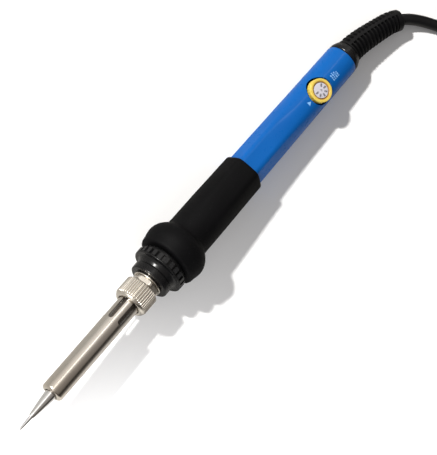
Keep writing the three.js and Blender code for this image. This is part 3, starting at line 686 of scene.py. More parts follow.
SHIFT_LENGTH, SHIFT_SPACING = 0.025, 0.014
STRAIGHT_STEPS, FOLD_STEPS = 8, 16
FOLD_MEAN_R = 0.0176
TIE_PLACE = 0.1132
LOOSENESS = 0.0011  # how far the lowest run settles away from the strap


def ease(t):
    t = min(1.0, max(0.0, t))
    return (1 - math.cos(math.pi * t)) / 2


def hank_point(turn, place, run):
    """A point of one turn.

    place is its x from the hank's middle, and its x and y in fold radii; run is the way gone
    past the far fold, over which the cord moves to the next turn's slot.
    """
    radius, layer = HANK_SLOTS[turn]
    if turn < 5:
        next_radius, next_layer = HANK_SLOTS[turn + 1]
        share = ease((run - SHIFT_SPACING * (4 - turn)) / SHIFT_LENGTH)
        radius += (next_radius - radius) * share
        layer += (next_layer - layer) * share
    x = HANK_MIDDLE[0] + place[0] + place[1] * radius
    settle = LOOSENESS * ease((abs(x - TIE_PLACE) - 0.006) / 0.02) * (1 - layer / 2)
    return (x, HANK_MIDDLE[1] + place[2] * radius, HANK_LOWEST + layer * HANK_LAYER - settle)


def near_straight(turn):
    return [hank_point(turn, (-HANK_HALF + 2 * HANK_HALF * i / STRAIGHT_STEPS, 0, -1), 0)
            for i in range(STRAIGHT_STEPS)]


def hank_turn(turn):
    """Points of one turn from the near straight: out, round the far fold, back, round the near fold."""
    points = near_straight(turn)
    for i in range(FOLD_STEPS + 1):
        angle = math.pi * i / FOLD_STEPS - math.pi / 2
        points.append(hank_point(turn, (HANK_HALF, math.cos(angle), math.sin(angle)), 0))
    for i in range(1, STRAIGHT_STEPS):
        run = 2 * HANK_HALF * i / STRAIGHT_STEPS
        points.append(hank_point(turn, (HANK_HALF - run, 0, 1), run))
    for i in range(FOLD_STEPS + 1):
        angle = math.pi * i / FOLD_STEPS + math.pi / 2
        run = 2 * HANK_HALF + FOLD_MEAN_R * (angle - math.pi / 2)
        points.append(hank_point(turn, (-HANK_HALF, math.cos(angle), math.sin(angle)), run))
    return points[:-1]


def on_axis(along):
    p = point + back * along * MM
    return (p.x - CAP_END, p.y, p.z)


def rising_fold():
    """The last fold, which climbs out of the hank towards the plug."""
    radius = HANK_SLOTS[5][0]
    start, delay, rise, climb = math.radians(-10), math.radians(30), 0.0094, 0.053
    points = []
    for i in range(FOLD_STEPS // 2 + 1):
        angle = math.pi * i / FOLD_STEPS - math.pi / 2
        points.append(hank_point(5, (HANK_HALF, math.cos(angle), math.sin(angle)), 0))
    for i in range(1, FOLD_STEPS // 2):
        angle = math.pi * i / FOLD_STEPS
        run = max(0.0, angle - start - delay) * radius
        points.append((
            HANK_MIDDLE[0] + HANK_HALF + radius * math.cos(angle),
            HANK_MIDDLE[1] + radius * math.sin(angle),
            HANK_LOWEST + 2 * HANK_LAYER + rise * ease(run / climb),
        ))
    return points


def cord_line():
    """The whole cord's centre line, from inside the strain relief to the plug."""
    line = [on_axis(CAP_REAR - 0.3), *BOOT_ROUTE, *CORD_ROUTE[1:]]
    for turn in range(5):
        line += hank_turn(turn)
    line += near_straight(5) + rising_fold() + TAIL_ROUTE
    line.append((TAIL_ROUTE[-1][0] - 0.004, TAIL_ROUTE[-1][1], TAIL_ROUTE[-1][2]))
    return smooth_line([(x + CAP_END, y, z) for x, y, z in line], 0.0012)


def frames_along(line):
    """A side and an up direction at each point, carried along without twist."""
    tangents = np.gradient(line, axis=0)
    tangents /= np.linalg.norm(tangents, axis=1)[:, None]
    up = np.array([0.0, 0.0, 1.0])
    found = []
    for t in tangents:
        up = up - t * np.dot(up, t)
        up /= np.linalg.norm(up)
        found.append((np.cross(up, t), up.copy()))
    return found


def make_cord():
    """The cord's skin, its centre line and its length in metres."""
    line, around = cord_line(), 20
    rings = []
    for centre, (out, up) in zip(line, frames_along(line)):
        angles = [TAU * i / around for i in range(around)]
        rings.append([tuple(centre + CORD_R * MM * (out * math.sin(a) + up * math.cos(a))) for a in angles])
    rings = [[tuple(line[0])], *rings, [tuple(line[-1])]]
    cord = add_object("cord", *rings_mesh(rings, False), Matrix.Identity(4), 60)
    length = float(np.linalg.norm(np.diff(line, axis=0), axis=1).sum())
    finish_piece(cord, sheath, "handle", "cord_sheath", "mains_cord", "cord_hank", "cord_tail")
    return cord, line, length


cord, cord_path, cord_length = make_cord()


# ------------------------------------------------------------------ front end
def make_bit():
    shoulder, sleeve_end, bore = FRONT + 0.9, FRONT + 27.7, 2.15
    profile = [
        (0, 0), (0.04, 0.2), (0.16, 0.36), (0.4, 0.46), (1.6, 0.575), (3.1, 0.67), (4.7, 0.76),
        (6.6, 0.88), (6.85, 0.98), (7.1, 1.2), (7.6, 1.3), (9.5, 1.55), (11.9, 1.85), (14.3, 2.13),
        (17.6, 2.45), (shoulder, 2.45), (shoulder, 3.1), (shoulder + 0.15, 3.25), (sleeve_end - 0.2, 3.25),
        (sleeve_end, 3.05), (sleeve_end, bore), (FRONT + 5.4, bore), (FRONT + 4.2, 0),
    ]
    finish_piece(turned("soldering_bit_fine", profile, 96), plate, "bit", "plated_bit", "soldering_bit")


def slot_cutter(length, width, reach):
    """A standing cutter with round ends along X, from near the axis up to its reach."""
    turns, half, foot = np.linspace(0, math.pi, 10), width / 2, 1.0
    outline = [(length - half + half * math.sin(a), half * math.cos(a)) for a in turns]
    outline += [(half - half * math.sin(a), -half * math.cos(a)) for a in turns]
    count = len(outline)
    vertices = [(x, y, foot) for x, y in outline] + [(x, y, reach) for x, y in outline]
    faces = [tuple(range(count)), tuple(range(2 * count - 1, count - 1, -1))]
    faces += [(i, (i + 1) % count, (i + 1) % count + count, i + count) for i in range(count)]
    return vertices, faces


def make_barrel():
    inner = BARREL_R - BARREL_WALL
    flange_front, flange_rear, flange = NUT_FRONT + 1.6, NUT_FRONT + 2.9, 5.8
    mouth, roll_r, roll_low = 2.8, 1.35, 3.4
    roll = [(FRONT + roll_r - roll_r * math.cos(a), roll_low + roll_r * math.sin(a))
            for a in np.linspace(0, math.pi / 2, 9)]
    profile = [
        (FRONT + 0.12, mouth + 0.02), (FRONT, mouth + 0.12), *roll,
        (flange_front - 0.1, BARREL_R), (flange_front, BARREL_R + 0.1), (flange_front, flange - 0.15),
        (flange_front + 0.15, flange), (flange_rear - 0.15, flange), (flange_rear, flange - 0.15),
        (flange_rear, inner), (FRONT + 1.5, inner), (FRONT + 0.65, 3.3), (FRONT + 0.6, mouth),
    ]
    core = turned("barrel_fine", refine(profile, 6), 96, closed=True, place=DRAWN)
    length, width, slots, slot_turn = 11.6, 2.3, 6, math.radians(13)
    cutter = add_object("slot_cutter", *slot_cutter(length, width, BARREL_R * 2), DRAWN)
    cutter.data.transform(Matrix.Translation((NUT_FRONT + 1.3 - length, 0, 0)))
    barrel = round_axis(core, cutter, slots, slot_turn, steel, cuts_round_axis, sharp=28)
    finish_piece(barrel, steel, "barrel", "stainless_barrel", "barrel")


def make_nut():
    root = NUT_R - 0.45
    profile = fillet(
        [(NUT_FRONT, 5.1), (NUT_FRONT, root - 0.7), (NUT_FRONT + 0.75, root), (NUT_REAR - 0.35, root),
         (NUT_REAR, root - 0.4), (NUT_REAR, NUT_CAVITY_R), (NUT_FRONT + 1.3, NUT_CAVITY_R),
         (NUT_FRONT + 1.3, 5.1)],
        0.22, closed=True)
    core = turned("barrel_nut_fine", profile, 120, closed=True, place=DRAWN)
    start, end = NUT_FRONT + 1.15, NUT_REAR - 0.3
    half, crest = math.pi * root / KNURLS * 0.92, NUT_R
    stations = [(start, 0.0), (start + 0.25, 0.7), (start + 0.5, 1.0), (end - 0.35, 1.0), (end, 0.15)]
    flank = [(half, -0.15), (half * 0.72, 0.45), (half * 0.42, 0.85), (half * 0.14, 1.0)]
    outline = [(-across, part) for across, part in flank] + flank[::-1]
    sunk, rings = 0.1, []
    for along, share in stations:
        rise = (crest - root) * share
        rings.append([(along, across, root - sunk + sunk * (part > 0) + rise * max(0, part))
                      for across, part in outline])
    rings = [[(start, 0, root - sunk)], *rings, [(end, 0, root - sunk)]]
    ridge = add_object("knurl_ridge", *rings_mesh(rings, False), DRAWN, 50)
    nut = round_axis(core, ridge, KNURLS, 0.0, nickel, copies_round_axis, sharp=50)
    finish_piece(nut, nickel, "nut", "nickel_plate", "barrel_nut")


def make_nipple():
    def hexagon(along, radius, angle):
        if not HEX_FRONT - 0.01 <= along <= HEX_REAR + 0.01 or radius < STEM_R + 0.01:
            return radius
        folded = abs(angle - math.pi / 6 - math.pi / 3 * round((angle - math.pi / 6) / (math.pi / 3)))
        return min(radius, HEX_FLAT_R / math.cos(math.pi / 6 - abs(folded - math.pi / 6)))

    thread, crest, root, bore = [], 5.8, 5.45, 3.4
    start, pitch, turns = NUT_FRONT + 3.2, 0.9, 7
    for i in range(turns):
        foot = start + 0.3 + i * pitch
        thread += [(foot, root), (foot + 0.3, crest), (foot + 0.45, crest), (foot + 0.75, root)]
    profile = [
        (start, bore), (start, root - 0.3), (start + 0.2, root), *thread,
        (HEX_FRONT, root), (HEX_FRONT, HEX_CORNER_R - 0.45), (HEX_FRONT + 0.14, HEX_CORNER_R - 0.2),
        (HEX_FRONT + 0.4, HEX_CORNER_R), (HEX_REAR - 0.15, HEX_CORNER_R), (HEX_REAR, HEX_CORNER_R - 0.15),
        (HEX_REAR, STEM_R), (STEM_REAR - 0.2, STEM_R), (STEM_REAR, STEM_R - 0.2), (STEM_REAR, bore),
    ]
    nipple = turned("threaded_nipple_fine", profile, 96, closed=True, shape=hexagon, sharp=30)
    finish_piece(nipple, nickel, "handle", "nickel_plate", "threaded_nipple")
    hole = 5.2
    ring = [(WASHER_FRONT, hole), (WASHER_FRONT, WASHER_R), (WASHER_REAR, WASHER_R), (WASHER_REAR, hole)]
    washer = turned("nipple_washer_fine", fillet(ring, 0.2, True), 96, closed=True)
    finish_piece(washer, nickel, "handle", "nickel_plate", "nipple_washer")


def make_heater():
    jacket, rod_r, jacket_r = FRONT + 28.0, 1.85, 3.05
    rod = fillet([(FRONT + 5.7, 0), (FRONT + 5.7, rod_r), (jacket, rod_r), (jacket, jacket_r),
                  (STEM_REAR - 0.3, jacket_r), (STEM_REAR - 0.3, rod_r), (STEM_REAR + 7.0, rod_r),
                  (STEM_REAR + 7.0, 0)], 0.25)
    finish_piece(turned("heater_rod_fine", refine(rod, 4), 64), ceramic, "handle", "ceramic", "heater_rod")
    ring = fillet([(88.3, 2.15), (88.3, 4.2), (95.8, 4.2), (95.8, 2.15)], 0.4, True)
    collar = turned("heater_collar_fine", ring, 48, closed=True)
    finish_piece(collar, ceramic, "handle", "ceramic", "heater_collar")


# ------------------------------------------------------------------ nose, grip, handle
def make_nose():
    floor_r = RING_R - 1.0
    outer = [
        (NOSE_FRONT, 5.2), (NOSE_FRONT, 8.75), (NOSE_FRONT + 3.1, 8.8), (NOSE_FRONT + 3.5, 8.35),
        (NOSE_RING - 0.8, 8.9), (NOSE_RING, 9.6), (NOSE_RING, RING_R), (NOSE_RING + 0.75, RING_R),
        (NOSE_RING + 0.75, floor_r),
        (NOSE_RING_REAR, floor_r), (NOSE_RING_REAR + 0.2, 10.1), (NOSE_REAR, 10.1), (NOSE_REAR, 6.3),
        (107.7, 6.3), (107.7, 4.5), (88.15, 4.5), (88.15, 5.2),
    ]
    core = turned("nose_piece_fine", fillet(outer, 0.55, True, 4), 120, closed=True, place=DRAWN)
    start, end, half = NOSE_RING + 0.6, NOSE_RING_REAR, TAU * RING_R / CASTLES / 2 - 0.6
    shape = bmesh.new()
    bmesh.ops.create_cube(shape, size=1)
    for v in shape.verts:
        reach = RING_R + 0.02 if v.co.z > 0 else floor_r - 0.3
        taper = 1 if v.co.z > 0 else 0.93
        v.co = ((start + end) / 2 + v.co.x * (end - start), v.co.y * 2 * half * taper, reach)
    bmesh.ops.bevel(shape, geom=shape.edges[:], offset=0.16, segments=2, affect="EDGES")
    mesh = bpy.data.meshes.new("castle")
    shape.to_mesh(mesh)
    shape.free()
    tooth = new_object("castle", mesh)
    nose = round_axis(core, tooth, CASTLES, 0.0, resin, copies_round_axis, sharp=40)
    finish_piece(nose, resin, "handle", "black_resin", "nose_piece")


def make_grip():
    heel = GRIP_FRONT + 12.8
    outer = [
        (GRIP_FRONT, 10.6), (GRIP_FRONT, 12.0), (GRIP_FRONT + 0.25, 12.5), (GRIP_FRONT + 0.8, 12.78),
        (92.9, 12.88), (94.4, 13.1), (95.8, 13.42), (97.2, 13.6), (98.4, 13.55), (99.6, 13.3),
        (100.7, 12.85), (101.7, 12.3), (102.6, 11.65), (103.3, 11.0), (103.9, 10.35), (104.5, 9.93),
        (105.3, 9.75), (106.6, 9.68), (112, 9.66), (120, 9.6), (130.7, 9.42), (141.5, 9.28),
        (GRIP_REAR - 0.5, 9.24), (GRIP_REAR - 0.12, 9.1), (GRIP_REAR, 8.8),
    ]
    bore = HANDLE_GRIP_R + 0.3
    inner = refine([(GRIP_REAR, bore), (GRIP_FRONT, bore)], 8)[1:-1]
    profile = [(GRIP_FRONT, bore), *refine(outer, 1.5), (GRIP_REAR, bore), *inner]

    def shape(along, radius, angle):
        if radius < bore + 0.05:
            return radius * hexagon_share(angle)
        share = 0.8 * between(along, heel, GRIP_REAR) ** 0.8
        return radius * (1 - share + share * hexagon_share(angle))

    grip = turned("grip_sleeve_fine", profile, 144, closed=True, shape=shape, sharp=40)
    finish_piece(grip, rubber, "handle", "grip_rubber", "grip_sleeve")


def handle_radius(along, angle):
    radius = HANDLE_GRIP_R + (HANDLE_REAR_R - HANDLE_GRIP_R) * between(along, GRIP_REAR, HANDLE_REAR)
    share = 1 - between(along, GRIP_REAR + 6, KNOB_ALONG + 4)
    share = share * share * (3 - 2 * share)
    return radius * (1 - share + share * hexagon_share(angle))


def make_handle():
    socket, socket_rear, inside_below = 6.6, 108.0, 6.95
    skin = [(GRIP_FRONT, HANDLE_GRIP_R), (GRIP_REAR, HANDLE_GRIP_R), (HANDLE_REAR - 0.5, HANDLE_REAR_R)]
    profile = [
        (GRIP_FRONT, socket), *refine(skin, 1.6), (HANDLE_REAR - 0.15, HANDLE_REAR_R - 0.1),
        (HANDLE_REAR, HANDLE_REAR_R - 0.4), (HANDLE_REAR, HANDLE_BORE_R), (socket_rear, HANDLE_BORE_R),
        (socket_rear, socket),
    ]

    def shape(along, radius, angle):
        if radius < inside_below:
            return radius
        rounding = max(0, HANDLE_REAR_R - radius) if along > HANDLE_REAR - 0.2 else 0
        return handle_radius(along, angle) - rounding

    core = turned("handle_tube_fine", profile, 192, closed=True, shape=shape, place=DRAWN)
    rim, around = [], 72
    hole = KNOB_R + 0.8
    for height, radius in ((2, hole), (6.4, hole), (7.9, hole + 0.28), (12, hole + 0.3)):
        angles = [TAU * i / around for i in range(around)]
        rim.append([(KNOB_ALONG + radius * math.cos(a), radius * math.sin(a), height) for a in angles])
    rim = [[(KNOB_ALONG, 0, 2)], *rim, [(KNOB_ALONG, 0, 12)]]
    cutter = add_object("knob_hole", *rings_mesh(rim, False), DRAWN)
    handle = round_axis(core, cutter, 1, 0.0, blue, cuts_round_axis, sharp=32)
    finish_piece(handle, blue, "handle", "blue_handle", "handle_tube")


def on_handle(along, across, lift):
    """A place on the handle's upper side, with across measured round it towards +Y."""
    angle = across / HANDLE_REAR_R
    radius = handle_radius(along, angle) + lift
    return (along, radius * math.sin(angle), radius * math.cos(angle))


def print_patch(vertices, faces, corners, thickness=0.03):
    """Adds a thin four-cornered print on the handle, corners as (along, across)."""
    start, cuts = len(vertices), 6
    row = cuts + 1
    for lift in (0.004, thickness):
        for i in range(row):
            a = Vector(corners[0]).lerp(Vector(corners[3]), i / cuts)
            b = Vector(corners[1]).lerp(Vector(corners[2]), i / cuts)
            for j in range(row):
                p = a.lerp(b, j / cuts)
                vertices.append(on_handle(p.x, p.y, lift))
    layer = row * row
    for i in range(cuts):
        for j in range(cuts):
            a = start + i * row + j
            faces.append((a, a + 1, a + row + 1, a + row))
            faces.append(tuple(layer + k for k in (a, a + row, a + row + 1, a + 1)))
    edge = [i * row for i in range(cuts)] + [cuts * row + j for j in range(cuts)]
    edge += [(cuts - i) * row + cuts for i in range(cuts)] + [cuts - j for j in range(cuts)]
    for a, b in zip(edge, edge[1:] + edge[:1]):
        faces.append((start + a, start + b, start + b + layer, start + a + layer))


def make_prints():
    """A pointer in front of the knob and rows of plain dashes behind it."""
    vertices, faces = [], []
    tip = KNOB_ALONG - 6.9
    print_patch(vertices, faces, [(tip, -0.05), (tip, 0.05), (tip - 1.7, 0.95), (tip - 1.7, -0.95)])
    finish_piece(add_object("pointer_print", vertices, faces, IRON), pale_ink, "handle", "blue_handle")
    vertices, faces = [], []
    rows = [[0.9, 0.5, 0.8], [0.5, 0.5, 0.9, 0.3], [1.2, 0.4, 0.6], [0.4, 0.8, 0.4]]
    row_start, row_pitch, dash_height, dash_gap = -1.75, 1.05, 0.62, 0.32
    for row, dashes in enumerate(rows):
        across, near = row_start, KNOB_ALONG + 8.0 + row * row_pitch
        far = near + dash_height
        for dash in dashes:
            end = across + dash
            print_patch(vertices, faces, [(near, across), (near, end), (far, end), (far, across)])
            across += dash + dash_gap
    finish_piece(add_object("dash_print", vertices, faces, IRON), pale_ink, "handle", "blue_handle")


def make_cap():
    front = HANDLE_REAR + 0.3
    outer = [(HANDLE_REAR - 6, 4.1), (HANDLE_REAR - 6, 5.6), (front, 5.6), (front, 6.95), (front + 0.5, 7.2),
             (front + 1.7, 7.1), (CAP_REAR - 1.0, 6.45), (CAP_REAR - 0.1, 6.2), (CAP_REAR, 4.1)]
    cap = turned("rear_cap_fine", fillet(outer, 0.5, True, 4), 96, closed=True)
    finish_piece(cap, resin, "handle", "black_resin", "rear_cap")


# ------------------------------------------------------------------ temperature knob
def upright(name, profile, segments=72, closed=False, shape=None, sharp=35):
    """A body turned on the knob's axis from [height, radius] pairs."""
    return turned(name, profile, segments, closed, shape, UPRIGHT, sharp)


def make_knob():
    low, floor = KNOB_TOP - KNOB_HEIGHT, KNOB_TOP - 1.0
    profile = fillet(
        [(low + 1.8, 0), (low + 1.8, 1.8), (low, 1.8), (low, KNOB_R), (KNOB_TOP, KNOB_R),
         (KNOB_TOP, DIAL_R + 0.75), (KNOB_TOP - 0.25, DIAL_R + 0.55), (KNOB_TOP - 0.25, DIAL_R + 0.3),
         (floor, DIAL_R + 0.3), (floor, 0)], 0.34, steps=5)

    def grooves(height, radius, angle):
        if radius < KNOB_R - 0.3 or height > KNOB_TOP - 0.6:
            return radius
        return radius - 0.12 * max(0, math.cos(24 * angle)) ** 3

    knob = upright("temperature_knob_fine", refine(profile, 0.6), 144, shape=grooves)
    finish_piece(knob, yellow, "knob", "yellow_knob", "temperature_knob")
    top, bottom = KNOB_TOP - 0.3, KNOB_TOP - 0.7
    disc = fillet([(bottom, 0), (bottom, DIAL_R), (top, DIAL_R), (top, 0)], 0.12)
    finish_piece(upright("dial_plate_fine", disc), card, "knob", "dial_grey", "dial_plate")
    shaft = fillet([(3.5, 0), (3.5, 1.5), (6.4, 1.5), (6.4, 0)], 0.2)
    shaft = upright("potentiometer_shaft_fine", shaft, 36)
    finish_piece(shaft, brass, "knob", "brass", "potentiometer_shaft")


def dial_print(text, size, angle, reach):
    """A number on the dial, written outwards along a radius."""
    curve = bpy.data.curves.new("number", "FONT")
    curve.body, curve.size, curve.extrude = text, size, 0.012
    curve.align_x = curve.align_y = "CENTER"
    curve.offset = 0.04
    mesh = curve_mesh(curve)
    spot = Matrix.Translation((KNOB_ALONG, 0, KNOB_TOP - 0.285)) @ Matrix.Rotation(angle, 4, "Z")
    mesh.transform(IRON @ spot @ Matrix.Translation((reach, 0, 0)))
    return mesh


def make_dial_numbers():
    shape = bmesh.new()
    first, step = math.radians(40.7), math.radians(47)
    for i in range(6):
        shape.from_mesh(dial_print(str(450 - 50 * i), 1.0, first - i * step, 2.2))
    shape.from_mesh(dial_print("°C", 0.95, math.radians(-49), 0.0))
    finish_piece(shape_object("dial_numbers", shape), dark_ink, "knob", "dial_grey")


# ------------------------------------------------------------------ strain relief, strap and plug
def make_strain_relief():
    """A ribbed boot with staggered grooves, bent along the cord."""
    inside = HANDLE_REAR - 6 - 0.3 - 2.4
    route = [on_axis(inside), on_axis(HANDLE_REAR - 3), on_axis(CAP_REAR - 0.3), *BOOT_ROUTE]
    line = smooth_line([(x + CAP_END, y, z) for x, y, z in route], 0.0005)
    run = np.concatenate([[0], np.cumsum(np.linalg.norm(np.diff(line, axis=0), axis=1))]) / MM
    whole, front = run[-1], CAP_REAR + 0.3 - inside
    ribs, collar = 13, 2.6
    pitch = (whole - front - collar - 0.9) / ribs
    bore, root, root_length = CORD_R + 0.12, 3.8, 2.4
    front_r, rear_r = 5.75, 4.75
    row_centre, groove_depth = 125, 1.25

    def outer(u):
        return front_r + (rear_r - front_r) * between(u, front, whole)

    def groove(u, angle):
        """Depth of the grooves: two rows round the boot, one of them half a pitch along."""
        depth = 0.0
        for row in range(2):
            centre = math.radians(row_centre - 180 * row)
            off = abs((angle - centre + math.pi) % TAU - math.pi)
            across = 1 - between(off, math.radians(78), math.radians(83))
            if across <= 0:
                continue
            phase = ((u - front - 0.9) / pitch - (0.5 if row % 2 else 0.0)) % 1.0
            inside_run = front + 0.5 < u < whole - collar
            along = between(phase, 0.08, 0.22) * (1 - between(phase, 0.70, 0.84))
            depth = max(depth, groove_depth * across * along * inside_run)
        return depth

    stations = [(0, 5.2), (root_length, 5.2), (root_length, root), (front, root),
                (front, outer(front) - 0.35), (front + 0.2, outer(front) - 0.08)]
    stations += [(u, outer(u)) for u in np.arange(front + 0.5, whole - 0.5, pitch / 9)]
    stations += [(whole - 0.35, outer(whole)), (whole - 0.08, outer(whole) - 0.15),
                 (whole, outer(whole) - 0.4), (whole, bore)]
    stations += [(u, bore) for u in np.arange(whole - 2, 0, -3)] + [(0, bore)]
    carried = frames_along(line)
    rings, around = [], 128
    for u, radius in stations:
        i = min(len(line) - 1, int(round(np.interp(u, run, np.arange(len(run))))))
        centre, (out, up) = np.array([np.interp(u, run, line[:, a]) for a in range(3)]), carried[i]
        ring = []
        for k in range(around):
            angle = TAU * k / around
            r = radius - (groove(u, angle) if radius > 4.3 and u > front + 0.4 else 0.0)
            ring.append(tuple(centre + r * MM * (out * math.sin(angle) + up * math.cos(angle))))
        rings.append(ring)
    boot = add_object("strain_relief_fine", *rings_mesh(rings, True), Matrix.Identity(4), 38)
    return finish_piece(boot, boot_black, "handle", "boot_rubber", "strain_relief")


def rounded_outline(width, height, corner, steps=6):
    """Points round a rectangle with rounded corners."""
    points = []
    for quarter, (sy, sz) in enumerate(((1, 1), (-1, 1), (-1, -1), (1, -1))):
        for i in range(steps + 1):
            angle = math.pi / 2 * (quarter + i / steps)
            points.append((sy * (width / 2 - corner) + corner * math.cos(angle),
                           sz * (height / 2 - corner) + corner * math.sin(angle)))
    return points


def make_strap():
    """A woven strap once round the hank, its end lying over its start."""
    low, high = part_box("hank_tie")
    wide, thick = high.x - low.x, 0.0008
    centre, corner = (low + high) / 2, 0.0026
    half_y, half_z = (high.y - low.y) / 2 - thick / 2, (high.z - low.z) / 2 - thick / 2
    path = rounded_outline(2 * half_y, 2 * half_z, corner)
    end_length = 0.019
    end = [(half_y - corner - end_length * t, half_z + thick * (1.08 - 0.25 * (t < 0.03)))
           for t in np.linspace(0, 1, 9)]
    strips = [path + [path[0]], end]
    shape = bmesh.new()
    for strip, closed in zip(strips, (True, False)):
        rows = []
        for i, (y, z) in enumerate(strip):
            a, b = strip[max(0, i - 1)], strip[min(len(strip) - 1, i + 1)]
            if closed and i in (0, len(strip) - 1):
                a, b = strip[-2], strip[1]
            t = Vector((b[0] - a[0], b[1] - a[1])).normalized()
            n = Vector((t.y, -t.x)) * thick / 2
            edge = wide / 2 * (1 if closed else 0.94)
            rows.append([shape.verts.new((centre.x + x, centre.y + y + s * n.x, centre.z + z + s * n.y))
                         for x, s in ((-edge, -1), (-edge, 1), (edge, 1), (edge, -1))])
        if closed:
            rows[-1] = rows[0]
        for row, after in zip(rows, rows[1:]):
            for k in range(4):
                shape.faces.new((row[k], row[(k + 1) % 4], after[(k + 1) % 4], after[k]))
        if not closed:
            shape.faces.new(rows[0])
            shape.faces.new(rows[-1])
    bmesh.ops.remove_doubles(shape, verts=shape.verts, dist=1e-7)
    loose = [v for v in shape.verts if not v.link_faces]
    bmesh.ops.delete(shape, geom=loose, context="VERTS")
    sharp = [e for e in shape.edges if e.calc_face_angle(0) > 1.2]
    bmesh.ops.bevel(shape, geom=sharp, offset=0.00015, segments=2, affect="EDGES")
    strap = shape_object("hank_strap", shape)
    return finish_piece(strap, weave, "handle", "tie_strap", "hank_tie")


def make_plug():
    """The plug's moulded body, with finger ribs on its sides and a ribbed neck."""
    low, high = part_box("plug_body")
    entry = Vector((high.x, (low.y + high.y) / 2, (low.z + high.z) / 2)) / MM
    width, height = (high.y - low.y) / MM, (high.z - low.z) / MM
    neck, front = 9.0, (high.x - low.x) / MM
    stations = [(0.0, 5.6, 5.6, 2.78), (0.15, 6.6, 6.6, 3.28)]
    for i in range(3):
        at, grown = 1.2 + i * 2.3, 7.0 + i * 0.55
        root = (grown - 1.1, grown - 1.1, grown / 2 - 0.57)
        stations += [(at, grown, grown, grown / 2 - 0.02), (at + 0.25, *root), (at + 0.95, *root),
                     (at + 1.2, grown + 0.1, grown + 0.1, grown / 2 + 0.03)]
    stations += [
        (neck - 0.6, 9.0, 9.0, 4.45), (neck + 0.2, 11.5, 9.8, 4.6), (neck + 1.6, 17.0, 11.2, 4.9),
        (neck + 3.6, 20.5, 12.2, 4.6), (neck + 7, 21.6, 12.6, 4.0),
        (front - 6, width - 0.4, height - 0.1, 3.4), (front - 1, width, height, 3.1),
        (front - 0.25, width, height, 3.1), (front, width - 0.6, height - 0.6, 2.8),
    ]
    rings = []
    for at, w, h, corner in stations:
        outline = rounded_outline(w, h, min(corner, w / 2 - 0.01, h / 2 - 0.01), 8)
        rings.append([(entry.x - at, entry.y + y, entry.z + z) for y, z in outline])
    rings = [[(entry.x, entry.y, entry.z)], *rings, [(entry.x - front, entry.y, entry.z)]]
    body = add_object("plug_body_fine", *rings_mesh(rings, False), FLAT, 40)
    finish_piece(body, plug_black, "handle", "plug_plastic", "plug_body")
    shape = bmesh.new()
    rib, rib_pitch, rib_length = 0.9, 2.1, 13
    for face in (-1, 1):
        for i in range(5):
            spot = entry.x - front + 5.2 + i * rib_pitch
            middle = Vector((spot, entry.y, entry.z + face * (height / 2 - 0.16)))
            for v in bmesh.ops.create_cube(shape, size=1)["verts"]:
                v.co = middle + Vector((v.co.x * rib, v.co.y * (rib_length - 0.9 * i), v.co.z * rib))
    bmesh.ops.bevel(shape, geom=shape.edges[:], offset=0.3, segments=3, affect="EDGES")
    ribs = shape_object("plug_ribs", shape, FLAT)
    finish_piece(ribs, plug_black, "handle", "plug_plastic")
    return body, ribs


def make_blade(number):
    """A blade with a chamfered end and the usual hole near it."""
    low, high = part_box(f"plug_blade_{number}")
    length, tall, thick = high.x - low.x, high.z - low.z, high.y - low.y
    curve = bpy.data.curves.new("blade", "CURVE")
    curve.dimensions, curve.fill_mode = "2D", "BOTH"
    edge = 0.00012
    curve.extrude, curve.bevel_depth, curve.bevel_resolution, curve.offset = thick / 2 - edge, edge, 2, -edge
    chamfer = 0.0013
    outline = [(0, chamfer), (chamfer, 0), (length, 0), (length, tall), (chamfer, tall), (0, tall - chamfer)]
    hole_along, hole_r = 0.0032, 0.0015
    hole = [(hole_along + hole_r * math.cos(a), tall / 2 + hole_r * math.sin(a))
            for a in np.linspace(0, TAU, 24, endpoint=False)]
    for points in (outline, hole):
        spline = curve.splines.new("POLY")
        spline.points.add(len(points) - 1)
        for spot, (x, y) in zip(spline.points, points):
            spot.co = (x, y, 0, 1)
        spline.use_cyclic_u = True
    mesh = curve_mesh(curve)
    place = Matrix.Translation((low.x, (low.y + high.y) / 2, low.z))
    mesh.transform(place @ Matrix.Rotation(math.pi / 2, 4, "X"))
    tidy(mesh)
    blade = new_object(f"plug_blade_{number}_fine", mesh)
    return finish_piece(blade, brass, "handle", "brass", f"plug_blade_{number}")


# ------------------------------------------------------------------ hidden pieces that keep their CAD shape
def finish_hidden_pieces():
    looks = {
        "control_board": board_mask(),
        "triac": plain_part("black_epoxy", (0.02, 0.02, 0.022), (0.035, 0.035, 0.037)),
        "film_capacitor": plain_part("dipped_red", (0.42, 0.06, 0.03), (0.36, 0.05, 0.025), (0.2, 0.3)),
        "resistor_1": plain_part("resistor_tan", (0.62, 0.50, 0.33), (0.55, 0.42, 0.27)),
        "diac": plain_part("amber_glass", (0.50, 0.22, 0.08), (0.44, 0.18, 0.06), (0.1, 0.2)),
        "heater_lead_1": plain_part("glass_sleeve", (0.78, 0.74, 0.66), (0.68, 0.63, 0.54), (0.7, 0.85)),
        "mains_wire_1": plain_part("wire_black", (0.02, 0.02, 0.02), (0.03, 0.03, 0.03)),
        "mains_wire_2": plain_part("wire_red", (0.5, 0.05, 0.03), (0.44, 0.04, 0.03)),
    }
    same = {"resistor_2": "resistor_1", "heater_lead_2": "heater_lead_1", "potentiometer_body": "triac"}
    for node in [*looks, *same]:
        materials = frame["nodes"][node].data.materials
        materials.clear()
        materials.append(looks[same.get(node, node)])


